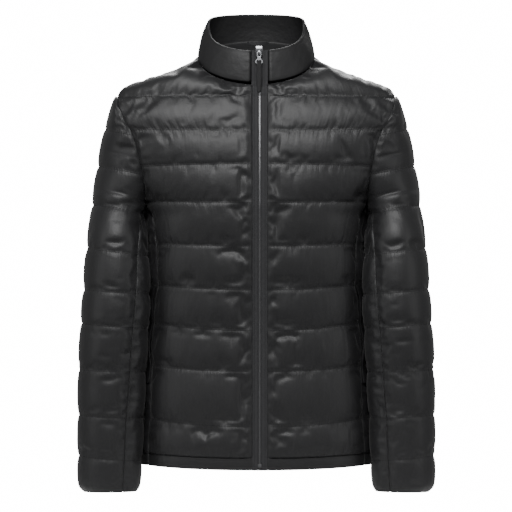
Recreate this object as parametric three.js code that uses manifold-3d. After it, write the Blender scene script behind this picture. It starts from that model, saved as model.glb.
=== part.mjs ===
// A quilted puffer jacket, filled out and closed, standing open at the neck, the hem and the cuffs.
// Millimetres, +Z up, the front faces -Y. The origin lies on the middle plane, level with the points
// where the shoulder lines meet the collar, which is where the wearer's shoulders carry the jacket.

import * as THREE from 'three';
import { mergeVertices } from 'three/addons/utils/BufferGeometryUtils.js';
import Module from 'manifold-3d';

const wasm = await Module();
wasm.setup();

// Cloth and seams
const WALL = 2;
const BODY_PUFF = 6;
const SLEEVE_PUFF = 4;
const COLLAR_WALL = 4.5;
const SEAM_HALF = 0.15;
const ARMHOLE_GAP = 1.5;
const ROWS_A_CHANNEL = 3;
const EDGE_SWELL = 0.25;
const HEM_PUFF = 2.5;
const CAP_FOOT = { mid: -5, deep: 68 };
const SLEEVE_SEAM_TURN = 0.003;
const COLLAR_STAND = WALL + 1.3;

// Columns of the panels
const NECK_COLUMNS = 5;
const FRONT_COLUMNS = 10;
const BACK_COLUMNS = 10;
const UNDERARM_COLUMNS = 4;
const SLEEVE_TOP_COLUMNS = 10;
const SLEEVE_UNDER_COLUMNS = 5;

// The zip stands a little to the +X side of the middle
const ZIP_X = 5.6;
const ZIP_HALF = 11.8;
const COIL_HALF = 1.3;
const ZIP_STOP_Z = -671;

// Body sections: inside half width, depths to front and back, and how far back the widest place lies
const BODY_SECTIONS = [
  { z: -50, half: 200, front: 76, back: 80, mid: 0 },
  { z: -64, half: 200, front: 81, back: 83, mid: 0 },
  { z: -121, half: 200, front: 102, back: 97, mid: 0 },
  { z: -178, half: 190, front: 114, back: 103, mid: 0 },
  { z: -237, half: 185, front: 121, back: 103, mid: 1 },
  { z: -262, half: 176.5, front: 124, back: 101, mid: 4 },
  { z: -320, half: 176, front: 127, back: 95, mid: 8 },
  { z: -400, half: 174.5, front: 125, back: 91, mid: 8 },
  { z: -454, half: 178, front: 124, back: 93, mid: 8 },
  { z: -531, half: 183.5, front: 125, back: 97, mid: 8 },
  { z: -598, half: 186, front: 127, back: 100, mid: 8 },
  { z: -658, half: 191, front: 128, back: 102, mid: 8 },
  { z: -684, half: 192, front: 128, back: 102, mid: 8 },
];
const BODY_POWER = 2.5;

// Where the side seam lies, set forward, as a share of the half width
const SIDE_SEAM = [
  { z: -235, share: 0.978 },
  { z: -267, share: 0.956 },
  { z: -323, share: 0.92 },
  { z: -369, share: 0.92 },
  { z: -404, share: 0.945 },
  { z: -471, share: 0.95 },
  { z: -511, share: 0.932 },
  { z: -596, share: 0.925 },
  { z: -684, share: 0.922 },
];

// Quilting seams of the body, at the zip and at the side
const BODY_QUILTS = [
  { middle: -63, side: -66 },
  { middle: -121, side: -118 },
  { middle: -176, side: -178 },
  { middle: -239, side: -235 },
  { middle: -310, side: -307 },
  { middle: -382, side: -375 },
  { middle: -449, side: -438 },
  { middle: -516, side: -509 },
  { middle: -607, side: -596 },
  { middle: -658, side: -653 },
];
const HEM = { middle: -679, side: -674 };

// The armhole is an upright rounded ring, and this is how far out it stands at each height
const ARMHOLE = { middle: -152, half: 91.5, front: 75, back: 77, power: 2.4 };
const ARMHOLE_X = [
  { z: -60, x: 229 },
  { z: -72, x: 229 },
  { z: -90, x: 223 },
  { z: -109, x: 214 },
  { z: -123, x: 205 },
  { z: -145, x: 197 },
  { z: -174, x: 190 },
  { z: -200, x: 185 },
  { z: -222, x: 183 },
  { z: -244, x: 182 },
];
const SIDE_SEAM_TOP = -235;

// Neck ring and shoulder line
const NECK = { half: 95, front: 74, back: 68, frontDrop: 45, backRise: 30 };
const SHOULDER = [
  { x: 95, z: -1 },
  { x: 130, z: -15 },
  { x: 175, z: -32 },
  { x: 212, z: -47 },
  { x: 229, z: -60.5 },
];

// Collar rim: half width, reach to front and back, height at the sides, fall to front, rise to back
const RIM = { half: 77, front: 66, back: 62, side: 62, frontFall: 49, backRise: 13 };
const COLLAR_ROWS = 5;

// Quilting seams of the sleeve, on its outer side and on its inner side
const SLEEVE_QUILTS = [
  { outer: -61, inner: -67 },
  { outer: -116, inner: -128 },
  { outer: -178, inner: -192 },
  { outer: -243, inner: -256.5 },
  { outer: -315, inner: -327 },
  { outer: -383, inner: -390 },
  { outer: -439, inner: -446 },
  { outer: -515, inner: -518 },
  { outer: -590, inner: -594 },
  { outer: -657, inner: -665 },
  { outer: -716, inner: -716 },
];

// Outer edge of the sleeve's inside, and of the rings below the armhole their inner edge, middle and
// half depth, and the turn of the under panel's seams from the inner edge
const SLEEVE_OUTER = [
  { z: -61, x: 231 },
  { z: -85, x: 238 },
  { z: -119, x: 249 },
  { z: -162, x: 257 },
  { z: -213, x: 265 },
  { z: -266, x: 271 },
  { z: -318, x: 277 },
  { z: -377, x: 281 },
  { z: -437, x: 285 },
  { z: -514, x: 289 },
  { z: -591, x: 290 },
  { z: -671, x: 290 },
  { z: -705, x: 289 },
  { z: -717, x: 284 },
];
const SLEEVE_RINGS = [
  { z: -243, inner: 183, middle: -9, half: 68, seam: 24 },
  { z: -260, inner: 189.5, middle: -19, half: 66, seam: 26 },
  { z: -300, inner: 187, middle: -37, half: 63, seam: 38 },
  { z: -400, inner: 182.5, middle: -51, half: 59, seam: 50 },
  { z: -454, inner: 186, middle: -54, half: 57, seam: 52 },
  { z: -531, inner: 190.5, middle: -55, half: 54, seam: 54 },
  { z: -598, inner: 194.5, middle: -56, half: 52, seam: 57 },
  { z: -673, inner: 197, middle: -56, half: 49, seam: 59 },
  { z: -717, inner: 200, middle: -56, half: 46, seam: 60 },
];

// Pocket welts, on the side seam
const POCKET = { top: -372, bottom: -553, width: 13, lift: 1.7, thick: 1.6 };

const NECK_PART = NECK_COLUMNS / FRONT_COLUMNS;
const lerp = THREE.MathUtils.lerp;
const clamp = THREE.MathUtils.clamp;

// Reads one column of a table at a height, by a smooth curve that doesn't overshoot
function column(table, key, value, name) {
  const up = table[0][key] < table[table.length - 1][key];
  const rows = up ? table : [...table].reverse();
  const v = clamp(value, rows[0][key], rows[rows.length - 1][key]);
  let k = 0;
  while (k < rows.length - 2 && v > rows[k + 1][key]) k += 1;
  const slope = (i) => (rows[i + 1][name] - rows[i][name]) / (rows[i + 1][key] - rows[i][key]);
  const tangent = (i) => {
    if (i === 0) return slope(0);
    if (i === rows.length - 1) return slope(rows.length - 2);
    const before = slope(i - 1);
    const after = slope(i);
    return before * after <= 0 ? 0 : (2 * before * after) / (before + after);
  };
  const width = rows[k + 1][key] - rows[k][key];
  const t = (v - rows[k][key]) / width;
  const bump = t * (1 - t);
  return (
    lerp(rows[k][name], rows[k + 1][name], t * t * (3 - 2 * t))
    + bump * (1 - t) * width * tangent(k) - bump * t * width * tangent(k + 1)
  );
}

const at = (table, z, name) => column(table, 'z', z, name);

// Height of a channel's swelling between two seams, 0 at the seams and 1 in the middle
const swell = (t) => Math.pow(Math.sin(Math.PI * clamp(t, 0, 1)), 0.8);

// Depth of the armhole ring at a height, to the front (-1) or to the back (+1)
function armholeY(z, way) {
  const up = clamp(Math.abs((z - ARMHOLE.middle) / ARMHOLE.half), 0, 1);
  const reach = way < 0 ? ARMHOLE.front : ARMHOLE.back;
  return way * reach * Math.pow(1 - Math.pow(up, ARMHOLE.power), 1 / ARMHOLE.power);
}

// The wall's direction at the armhole, the same for the body and the sleeve
function armholeOut(point) {
  const out = new THREE.Vector3(0, point.y / ARMHOLE.front, (point.z - ARMHOLE.middle) / ARMHOLE.half);
  return out.normalize();
}

// The section of the body at a height, on the front (-1) or the back (+1)
function bodySection(z, way) {
  const deep = at(BODY_SECTIONS, z, way < 0 ? 'front' : 'back');
  const mid = at(BODY_SECTIONS, z, 'mid');
  if (z < SIDE_SEAM_TOP) return { half: at(BODY_SECTIONS, z, 'half'), deep, mid };
  const edgeX = at(ARMHOLE_X, z, 'x');
  const edgeY = Math.abs(armholeY(z, way) - mid);
  const share = Math.pow(1 - Math.pow(edgeY / deep, BODY_POWER), 1 / BODY_POWER);
  return { half: edgeX / share, deep, mid };
}

// The point of the body's inside at a height and a distance from the middle plane
function bodyTurn(section, x) {
  return Math.asin(Math.pow(clamp(x / section.half, 0, 1), BODY_POWER / 2));
}

function bodyPoint(z, turn, way) {
  const section = bodySection(z, way);
  const x = section.half * Math.pow(Math.sin(turn), 2 / BODY_POWER);
  const y = section.mid + way * section.deep * Math.pow(Math.cos(turn), 2 / BODY_POWER);
  return new THREE.Vector3(x, y, z);
}

// Distance from the middle plane at which a front panel ends
function frontEnd(z) {
  if (z >= SIDE_SEAM_TOP) return at(ARMHOLE_X, z, 'x');
  return bodySection(z, -1).half * at(SIDE_SEAM, z, 'share');
}

// A point of the neck ring: 0 in front, half a turn at the back
function neckPoint(turn) {
  const c = Math.cos(turn);
  const reach = c > 0 ? NECK.front : NECK.back;
  const rise = c > 0 ? NECK.frontDrop : NECK.backRise;
  return new THREE.Vector3(NECK.half * Math.sin(turn), -reach * c, -rise * c);
}

function neckTurn(x) {
  return Math.asin(clamp(x / NECK.half, 0, 1));
}

// A point of the shoulder line, from the neck (0) to the armhole (1)
function shoulderPoint(t) {
  const x = lerp(SHOULDER[0].x, SHOULDER[SHOULDER.length - 1].x, t);
  return new THREE.Vector3(x, 0, column(SHOULDER, 'x', x, 'z'));
}

// Places a point of the jacket's +X half on the side wanted
const toSide = (vector, side) => new THREE.Vector3(vector.x * side, vector.y, vector.z);

// The level direction straight out of a rounded section
function sectionOut(x, y, half, deep, power) {
  const outX = (Math.sign(x) * Math.pow(Math.abs(x) / half, power - 1)) / half;
  const outY = (Math.sign(y) * Math.pow(Math.abs(y) / deep, power - 1)) / deep;
  return new THREE.Vector3(outX, outY, 0).normalize();
}

// A cloth piece being drawn: points of its inside with the wall's direction and thickness there,
// and four-cornered cells between them
class Cloth {
  constructor() {
    this.points = [];
    this.cells = [];
  }

  add(place, thick, out = null, lift = 0) {
    this.points.push({ place, thick, out, lift });
    return this.points.length - 1;
  }

  // Joins rows of point numbers that have the same length
  join(rows) {
    for (let j = 0; j + 1 < rows.length; j += 1) {
      for (let i = 0; i + 1 < rows[j].length; i += 1) {
        this.cells.push([rows[j][i], rows[j][i + 1], rows[j + 1][i + 1], rows[j + 1][i]]);
      }
    }
  }

  // Points without a direction of their own take the mean of their cells, turned away from the middle
  findDirections(middle) {
    const sums = this.points.map(() => new THREE.Vector3());
    for (const cell of this.cells) {
      const [a, b, c, d] = cell.map((k) => this.points[k].place);
      const across = new THREE.Vector3().subVectors(c, a);
      const normal = across.cross(new THREE.Vector3().subVectors(d, b));
      for (const k of cell) sums[k].add(normal);
    }
    this.points.forEach((point, k) => {
      if (point.out) return;
      const out = sums[k].normalize();
      const away = new THREE.Vector3().subVectors(point.place, middle(point.place));
      point.out = out.dot(away) < 0 ? out.negate() : out;
    });
  }

  // The closed wall: inside, raised outside and the edges between them
  solid(middle) {
    this.findDirections(middle);
    const count = this.points.length;
    const places = [];
    for (const { place, out, lift } of this.points) places.push(place.clone().addScaledVector(out, lift));
    for (const { place, out, lift, thick } of this.points) {
      places.push(place.clone().addScaledVector(out, lift + thick));
    }
    const faces = [];
    const edges = new Map();
    for (const cell of this.cells) {
      const [a, b, c, d] = cell;
      faces.push([a, c, b], [a, d, c]);
      faces.push([a + count, b + count, c + count], [a + count, c + count, d + count]);
      cell.forEach((from, k) => {
        const to = cell[(k + 1) % 4];
        const other = `${to}:${from}`;
        if (edges.has(other)) edges.delete(other);
        else edges.set(`${from}:${to}`, [from, to]);
      });
    }
    for (const [from, to] of edges.values()) {
      faces.push([from, to, to + count], [from, to + count, from + count]);
    }
    return closedGeometry(places, faces);
  }
}

// A closed body from its corners and triangles, turned the right way out
function closedGeometry(places, faces) {
  let volume = 0;
  for (const [a, b, c] of faces) {
    volume += places[a].dot(new THREE.Vector3().crossVectors(places[b], places[c]));
  }
  const order = volume < 0 ? [0, 2, 1] : [0, 1, 2];
  const geometry = new THREE.BufferGeometry();
  geometry.setAttribute('position', new THREE.Float32BufferAttribute(places.flatMap((p) => p.toArray()), 3));
  geometry.setIndex(faces.flatMap((face) => order.map((k) => face[k])));
  geometry.computeVertexNormals();
  return geometry;
}

// Rows between quilting seams, with their share of the swelling
function quiltRows(quilts, first, second) {
  const rows = [];
  quilts.slice(0, -1).forEach((quilt, k) => {
    const next = quilts[k + 1];
    for (let r = 0; r < ROWS_A_CHANNEL; r += 1) {
      const t = r / ROWS_A_CHANNEL;
      const row = { swell: swell(t) };
      row[first] = lerp(quilt[first], next[first], t);
      row[second] = lerp(quilt[second], next[second], t);
      rows.push(row);
    }
  });
  const last = quilts[quilts.length - 1];
  rows.push({ swell: 0, [first]: last[first], [second]: last[second] });
  return rows;
}

const bodyMiddle = (place) => new THREE.Vector3(0, 0, Math.min(place.z, -70));

// The height of a body row at a distance from the middle plane, given as a share of the way to its end
const rowHeight = (row, share) => lerp(row.middle, row.side, Math.pow(share, 1.6));

// A point of a front panel's row, from the zip (0) to the side (1)
function frontPoint(row, share, zipX) {
  const z = rowHeight(row, share);
  const section = bodySection(z, -1);
  const end = frontEnd(z) - (z >= SIDE_SEAM_TOP ? 0 : SEAM_HALF);
  const startTurn = bodyTurn(section, zipX);
  const level = bodyTurn(section, lerp(zipX, end, share));
  const turned = lerp(startTurn, bodyTurn(section, end), share);
  return bodyPoint(z, lerp(level, turned, 0.5), -1);
}

// The upper edge of a front or back panel: along the neck, then out along the shoulder
function upperEdge(share, startTurn, way) {
  if (share <= NECK_PART) {
    const turn = lerp(startTurn, Math.PI / 2, share / NECK_PART);
    const place = neckPoint(way < 0 ? turn : Math.PI - turn);
    const out = new THREE.Vector3(Math.sin(turn) * 0.4, way * Math.cos(turn) * 0.4, 0.9).normalize();
    return { place, out };
  }
  const t = (share - NECK_PART) / (1 - NECK_PART);
  const out = new THREE.Vector3(0.35 * (1 - t), 0, 1).normalize();
  return { place: shoulderPoint(t), out };
}

// Rounds a yoke from the first quilting seam up to the neck and shoulder
function yokePoint(low, high, t) {
  const bend = new THREE.Vector3(lerp(low.x, high.x, 0.4), low.y * 0.99, lerp(low.z, high.z, 0.78));
  return new THREE.QuadraticBezierCurve3(low, bend, high).getPoint(t);
}

// Half the seam between the front and the back along the shoulder
const seamShift = (way) => new THREE.Vector3(0, way * SEAM_HALF, 0);

function frontPanel(side) {
  const cloth = new Cloth();
  const zipX = zipEdge(side);
  const rows = quiltRows(BODY_QUILTS, 'middle', 'side');
  const grid = [];
  for (let r = 0; r < ROWS_A_CHANNEL; r += 1) {
    const t = 1 - r / ROWS_A_CHANNEL;
    grid.push(range(FRONT_COLUMNS).map((i) => {
      const share = i / FRONT_COLUMNS;
      const edge = upperEdge(share, neckTurn(zipX), -1);
      const high = edge.place.clone().add(seamShift(-1));
      const place = yokePoint(frontPoint(rows[0], share, zipX), high, t);
      const out = r === 0 ? edge.out : frontEdgeOut(place, i);
      return cloth.add(toSide(place, side), WALL + BODY_PUFF * swell(t) * edgeShare(i, FRONT_COLUMNS),
        out && toSide(out, side));
    }));
  }
  for (const row of rows) {
    grid.push(range(FRONT_COLUMNS).map((i) => {
      const place = frontPoint(row, i / FRONT_COLUMNS, zipX);
      const out = i === FRONT_COLUMNS && place.z > SIDE_SEAM_TOP - 1 ? armholeOut(place) : bodyOut(place, -1);
      return cloth.add(toSide(place, side), WALL + BODY_PUFF * row.swell * edgeShare(i, FRONT_COLUMNS),
        toSide(out, side));
    }));
  }
  cloth.join(grid);
  return cloth.solid(bodyMiddle);
}

const range = (count) => Array.from({ length: count + 1 }, (_, i) => i);
const edgeShare = (i, count) => (i === 0 || i === count ? EDGE_SWELL : 1);
const zipEdge = (side) => ZIP_HALF + 2 * SEAM_HALF + side * ZIP_X;

function frontEdgeOut(place, i) {
  if (i === 0) return new THREE.Vector3(0, -1, 0);
  return i === FRONT_COLUMNS ? armholeOut(place) : null;
}

function bodyOut(place, way) {
  const section = bodySection(place.z, way);
  return sectionOut(place.x, place.y - section.mid, section.half, section.deep, BODY_POWER);
}

// A point of the back panel's row, from the middle (0) to the armhole or the turn of the side (1)
function backPoint(row, share) {
  const z = rowHeight(row, share);
  const section = bodySection(z, 1);
  const end = frontEnd(z);
  const level = bodyTurn(section, end * share);
  const turned = bodyTurn(section, end) * share;
  return bodyPoint(z, lerp(level, turned, 0.5), 1);
}

// The back panel goes on under the arm: a point from the turn of the side (0) to the side seam (1)
function underarmPoint(row, share) {
  const z = row.side;
  if (z >= SIDE_SEAM_TOP) return armholeFoot(lerp(armholeY(z, 1), armholeY(z, -1) + 2 * SEAM_HALF, share));
  const front = bodySection(z, -1);
  const from = bodyTurn(bodySection(z, 1), frontEnd(z));
  const to = Math.PI - bodyTurn(front, frontEnd(z) + SEAM_HALF);
  const turn = lerp(from, to, share);
  return turn < Math.PI / 2 ? bodyPoint(z, turn, 1) : bodyPoint(z, Math.PI - turn, -1);
}

// A point of the armhole ring's foot, by its depth
function armholeFoot(y) {
  const reach = y < 0 ? ARMHOLE.front : ARMHOLE.back;
  const drop = Math.pow(1 - Math.pow(Math.abs(y) / reach, ARMHOLE.power), 1 / ARMHOLE.power);
  const z = ARMHOLE.middle - ARMHOLE.half * drop;
  return new THREE.Vector3(at(ARMHOLE_X, z, 'x'), y, z);
}

function underarmCell(row, i) {
  const place = underarmPoint(row, i / UNDERARM_COLUMNS);
  const out = row.side >= SIDE_SEAM_TOP ? armholeOut(place) : bodyOut(place, place.y < 8 ? -1 : 1);
  const swelling = i === UNDERARM_COLUMNS ? EDGE_SWELL : 1;
  return { place, out, swelling };
}

// One row of the back's cells, from the -X side seam round to the +X one
function backRow(cloth, row, puff) {
  const wraps = row.side <= SIDE_SEAM_TOP;
  const half = (side, first) => {
    const numbers = [];
    for (let i = first; i <= BACK_COLUMNS; i += 1) {
      const place = backPoint(row, i / BACK_COLUMNS);
      const rim = i === BACK_COLUMNS && row.side >= SIDE_SEAM_TOP;
      const swelling = i === BACK_COLUMNS && !wraps ? EDGE_SWELL : 1;
      const out = rim ? armholeOut(place) : bodyOut(place, 1);
      numbers.push(cloth.add(toSide(place, side), WALL + puff * row.swell * swelling, toSide(out, side)));
    }
    for (let i = 1; wraps && i <= UNDERARM_COLUMNS; i += 1) {
      const { place, out, swelling } = underarmCell(row, i);
      numbers.push(cloth.add(toSide(place, side), WALL + puff * row.swell * swelling, toSide(out, side)));
    }
    return numbers;
  };
  return [...half(-1, 1).reverse(), ...half(1, 0)];
}

function backPanel() {
  const cloth = new Cloth();
  const rows = quiltRows(BODY_QUILTS, 'middle', 'side');
  const upper = [];
  for (let r = 0; r < ROWS_A_CHANNEL; r += 1) {
    const t = 1 - r / ROWS_A_CHANNEL;
    const half = (side, first) => range(BACK_COLUMNS).slice(first).map((i) => {
      const share = i / BACK_COLUMNS;
      const edge = upperEdge(share, 0, 1);
      const place = yokePoint(backPoint(rows[0], share), edge.place.clone().add(seamShift(1)), t);
      const rim = i === BACK_COLUMNS ? armholeOut(place) : null;
      const out = r === 0 ? edge.out : rim;
      const swelling = i === BACK_COLUMNS ? EDGE_SWELL : 1;
      return cloth.add(toSide(place, side), WALL + BODY_PUFF * swell(t) * swelling, out && toSide(out, side));
    });
    upper.push([...half(-1, 1).reverse(), ...half(1, 0)]);
  }
  const lower = rows.map((row) => backRow(cloth, row, BODY_PUFF));
  const above = rows.findIndex((row) => row.side <= SIDE_SEAM_TOP);
  const trimmed = lower[above].slice(UNDERARM_COLUMNS, -UNDERARM_COLUMNS);
  cloth.join([...upper, ...lower.slice(0, above), trimmed]);
  cloth.join(lower.slice(above));
  return cloth.solid(bodyMiddle);
}

// The hem band hangs from the last quilting seam
const HEM_ROWS = [
  { t: 0.014, swell: 0 },
  { t: 0.5, swell: 1 },
  { t: 1, swell: 0.3 },
];

function hemRows() {
  const top = BODY_QUILTS[BODY_QUILTS.length - 1];
  return HEM_ROWS.map((row) => ({
    middle: lerp(top.middle, HEM.middle, row.t),
    side: lerp(top.side, HEM.side, row.t),
    swell: row.swell,
  }));
}

function frontHem(side) {
  const cloth = new Cloth();
  cloth.join(hemRows().map((row) => range(FRONT_COLUMNS).map((i) => {
    const place = frontPoint(row, i / FRONT_COLUMNS, zipEdge(side));
    const out = i === 0 ? new THREE.Vector3(0, -1, 0) : bodyOut(place, -1);
    return cloth.add(toSide(place, side), WALL + HEM_PUFF * row.swell, toSide(out, side));
  })));
  return cloth.solid(bodyMiddle);
}

function backHem() {
  const cloth = new Cloth();
  cloth.join(hemRows().map((row) => backRow(cloth, row, HEM_PUFF)));
  return cloth.solid(bodyMiddle);
}

// The sleeve's ring at a height: above the armhole's foot it stays open towards the body
function sleeveRing(z, rowInner, way) {
  const outer = at(SLEEVE_OUTER, z, 'x');
  if (rowInner < SIDE_SEAM_TOP - 1) {
    const inner = at(SLEEVE_RINGS, z, 'inner');
    const seam = THREE.MathUtils.degToRad(at(SLEEVE_RINGS, z, 'seam'));
    const deep = at(SLEEVE_RINGS, z, 'half');
    return { outer, wide: (outer - inner) / 2, deep, mid: at(SLEEVE_RINGS, z, 'middle'), seam };
  }
  const rimZ = Math.max(rowInner, SIDE_SEAM_TOP);
  const rimY = Math.abs(armholeY(rimZ, way));
  const low = clamp((ARMHOLE.middle - rimZ) / (ARMHOLE.middle - SIDE_SEAM_TOP), 0, 1);
  const mid = CAP_FOOT.mid * low;
  const deep = low > 0 ? lerp(Math.abs(armholeY(ARMHOLE.middle, way)), CAP_FOOT.deep, low) : rimY;
  const seam = Math.asin(clamp((rimY - way * mid) / deep, 0, 1));
  const edge = at(ARMHOLE_X, rimZ, 'x') + ARMHOLE_GAP;
  return { outer, wide: (outer - edge) / (1 + Math.cos(seam)), deep, mid, seam };
}

// A point of the sleeve at a turn from its inner edge, going by the front (-1) or by the back (+1)
function sleevePoint(ring, turn, way, z) {
  const x = ring.outer - ring.wide * (1 + Math.cos(turn));
  return new THREE.Vector3(x, ring.mid + way * ring.deep * Math.sin(turn), z);
}

const sleeveOut = (ring, turn, way) => (
  new THREE.Vector3(-Math.cos(turn) / ring.wide, (way * Math.sin(turn)) / ring.deep, 0).normalize()
);

const sleeveHeight = (row, turn) => lerp(row.outer, row.inner, (1 + Math.cos(turn)) / 2);

// The top panel: its rows run from the front seam round the outside to the back seam
function sleeveTop(side) {
  const cloth = new Cloth();
  const rows = quiltRows(SLEEVE_QUILTS, 'outer', 'inner');
  cloth.join(rows.map((row, r) => range(SLEEVE_TOP_COLUMNS).map((i) => {
    const way = i <= SLEEVE_TOP_COLUMNS / 2 ? -1 : 1;
    const share = Math.abs(1 - (2 * i) / SLEEVE_TOP_COLUMNS);
    const closed = row.inner < SIDE_SEAM_TOP - 1;
    const edge = sleeveRing(row.inner, row.inner, way);
    const turn = lerp(Math.PI, edge.seam + (closed ? SLEEVE_SEAM_TURN : 0), share);
    const rise = closed ? sleeveHeight(row, turn) : lerp(row.outer, row.inner, Math.pow(share, 1.5));
    const ring = closed ? sleeveRing(rise, row.inner, way) : { ...edge, outer: at(SLEEVE_OUTER, row.outer,
      'x') };
    if (!closed) ring.wide += (ring.outer - edge.outer) / (1 + Math.cos(edge.seam));
    const z = closed || share < 1 ? rise : Math.max(row.inner, SIDE_SEAM_TOP);
    const place = sleevePoint(ring, turn, way, z);
    const atRim = r === 0 || (!closed && share === 1);
    const open = atRim ? armholeOut(place) : null;
    const out = closed ? sleeveOut(ring, turn, way) : open;
    const swelling = row.swell * (share === 1 ? EDGE_SWELL : 1);
    return cloth.add(toSide(place, side), WALL + SLEEVE_PUFF * swelling, out && toSide(out, side));
  })));
  return cloth.solid((place) => sleeveMiddle(place, side));
}

const sleeveMiddle = (place, side) => new THREE.Vector3(side * 215, -20, Math.min(place.z, -130));

// The under panel: its rows run from the front seam past the inner edge to the back seam
function sleeveUnder(side) {
  const cloth = new Cloth();
  const rows = quiltRows(SLEEVE_QUILTS, 'outer', 'inner').filter((row) => row.inner < SIDE_SEAM_TOP - 1);
  const rimFront = armholeY(SIDE_SEAM_TOP, -1) + 3 * SEAM_HALF;
  const rimBack = armholeY(SIDE_SEAM_TOP, 1) - 3 * SEAM_HALF;
  const foot = range(SLEEVE_UNDER_COLUMNS).map((i) => {
    const place = armholeFoot(lerp(rimFront, rimBack, i / SLEEVE_UNDER_COLUMNS));
    const out = armholeOut(place);
    place.x += ARMHOLE_GAP;
    return cloth.add(toSide(place, side), WALL, toSide(out, side));
  });
  const rings = rows.map((row) => range(SLEEVE_UNDER_COLUMNS).map((i) => {
    const share = 1 - (2 * i) / SLEEVE_UNDER_COLUMNS;
    const way = share > 0 ? -1 : 1;
    const edge = sleeveRing(row.inner, row.inner, way);
    const turn = Math.abs(share) * (edge.seam - SLEEVE_SEAM_TURN);
    const z = sleeveHeight(row, turn);
    const ring = sleeveRing(z, row.inner, way);
    const swelling = row.swell * edgeShare(i, SLEEVE_UNDER_COLUMNS);
    const out = sleeveOut(ring, turn, way);
    return cloth.add(toSide(sleevePoint(ring, turn, way, z), side), WALL + SLEEVE_PUFF * swelling,
      toSide(out, side));
  }));
  cloth.join([foot, ...rings]);
  return cloth.solid((place) => sleeveMiddle(place, side));
}

// The collar stands on the neck ring and leans in to its rim

function rimPoint(turn) {
  const c = Math.cos(turn);
  const reach = c > 0 ? RIM.front : RIM.back;
  const rise = c > 0 ? -RIM.frontFall * Math.pow(c, 0.65) : RIM.backRise * Math.pow(-c, 0.5);
  return new THREE.Vector3(RIM.half * Math.sin(turn), -reach * c, RIM.side + rise);
}

// A point of the collar's inside: round from the +X zip edge, its columns standing on those of the
// panels' necks, and up from 0 to 1
function collarPoint(index, up) {
  const quarter = Math.min(Math.floor(index / NECK_COLUMNS), 3);
  const ring = (half) => {
    const stops = [Math.asin(zipEdge(1) / half), Math.PI / 2, Math.PI, 1.5 * Math.PI];
    stops.push(2 * Math.PI - Math.asin(zipEdge(-1) / half));
    return lerp(stops[quarter], stops[quarter + 1], index / NECK_COLUMNS - quarter);
  };
  const low = neckPoint(ring(NECK.half));
  low.z += COLLAR_STAND;
  const high = rimPoint(ring(RIM.half));
  const bend = new THREE.Vector3(lerp(low.x, high.x, 0.4), lerp(low.y, high.y, 0.4), lerp(low.z, high.z,
    0.55));
  bend.x *= 1.03;
  bend.y *= 1.02;
  return new THREE.QuadraticBezierCurve3(low, bend, high).getPoint(up);
}

function collar() {
  const cloth = new Cloth();
  cloth.join(range(COLLAR_ROWS).map((j) => range(4 * NECK_COLUMNS).map((i) => {
    const up = j / COLLAR_ROWS;
    const place = collarPoint(i, up);
    const level = sectionOut(place.x, place.y, NECK.half, NECK.front, 2);
    const out = i === 0 || i === 4 * NECK_COLUMNS ? new THREE.Vector3(0, -1, 0) : level;
    const edge = j === 0 || j === COLLAR_ROWS;
    return cloth.add(place, edge ? COLLAR_WALL * 0.6 : COLLAR_WALL, out);
  })));
  return cloth.solid((place) => new THREE.Vector3(0, 0, place.z));
}

// The front edge from the hem up over the neck seam to the collar's rim: depth and height
function frontEdge() {
  const rows = quiltRows(BODY_QUILTS, 'middle', 'side').reverse();
  const places = [HEM.middle, lerp(HEM.middle, -658, 0.5)].map((z) => bodyPoint(z, 0, -1));
  for (const row of rows) places.push(bodyPoint(row.middle, 0, -1));
  const first = places[places.length - 1];
  for (const t of [0.5, 1]) places.push(yokePoint(first, neckPoint(0), t));
  for (let j = 1; j <= COLLAR_ROWS; j += 1) places.push(collarPoint(0, j / COLLAR_ROWS));
  return places;
}

// A strip up the front edge, between two distances from the middle plane
function edgeStrip(left, right, lift, thick, top = Infinity) {
  const cloth = new Cloth();
  const out = new THREE.Vector3(0, -1, 0);
  const places = frontEdge().filter((place) => place.z <= top);
  cloth.join(places.map(({ y, z }) => [left, right].map((x) => (
    cloth.add(new THREE.Vector3(x, y, z), thick, out, lift)
  ))));
  return cloth.solid(() => new THREE.Vector3());
}

const TAPE = { lift: 0.2, thick: 1.4 };
const COIL = { lift: 0.3, thick: 2.1 };

const zipTape = (side) => {
  const inner = ZIP_X + side * (COIL_HALF + 2 * SEAM_HALF);
  const outer = ZIP_X + side * ZIP_HALF;
  return edgeStrip(Math.min(inner, outer), Math.max(inner, outer), TAPE.lift, TAPE.thick);
};
const zipCoil = () => edgeStrip(ZIP_X - COIL_HALF, ZIP_X + COIL_HALF, COIL.lift, COIL.thick, 0);

// The loop for hanging up, sewn inside the back of the neck
const LOOP = { x: 3, half: 18, y: 64.5, bow: 7, top: 35, bottom: 28, thick: 1.2, columns: 8 };

function hangingLoop() {
  const cloth = new Cloth();
  cloth.join([LOOP.bottom, LOOP.top].map((z) => range(LOOP.columns).map((i) => {
    const across = (2 * i) / LOOP.columns - 1;
    const y = LOOP.y - LOOP.bow * (1 - across * across);
    return cloth.add(new THREE.Vector3(LOOP.x + LOOP.half * across, y, z), LOOP.thick, new THREE.Vector3(0,
      -1, 0));
  })));
  return cloth.solid(() => new THREE.Vector3());
}

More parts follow.
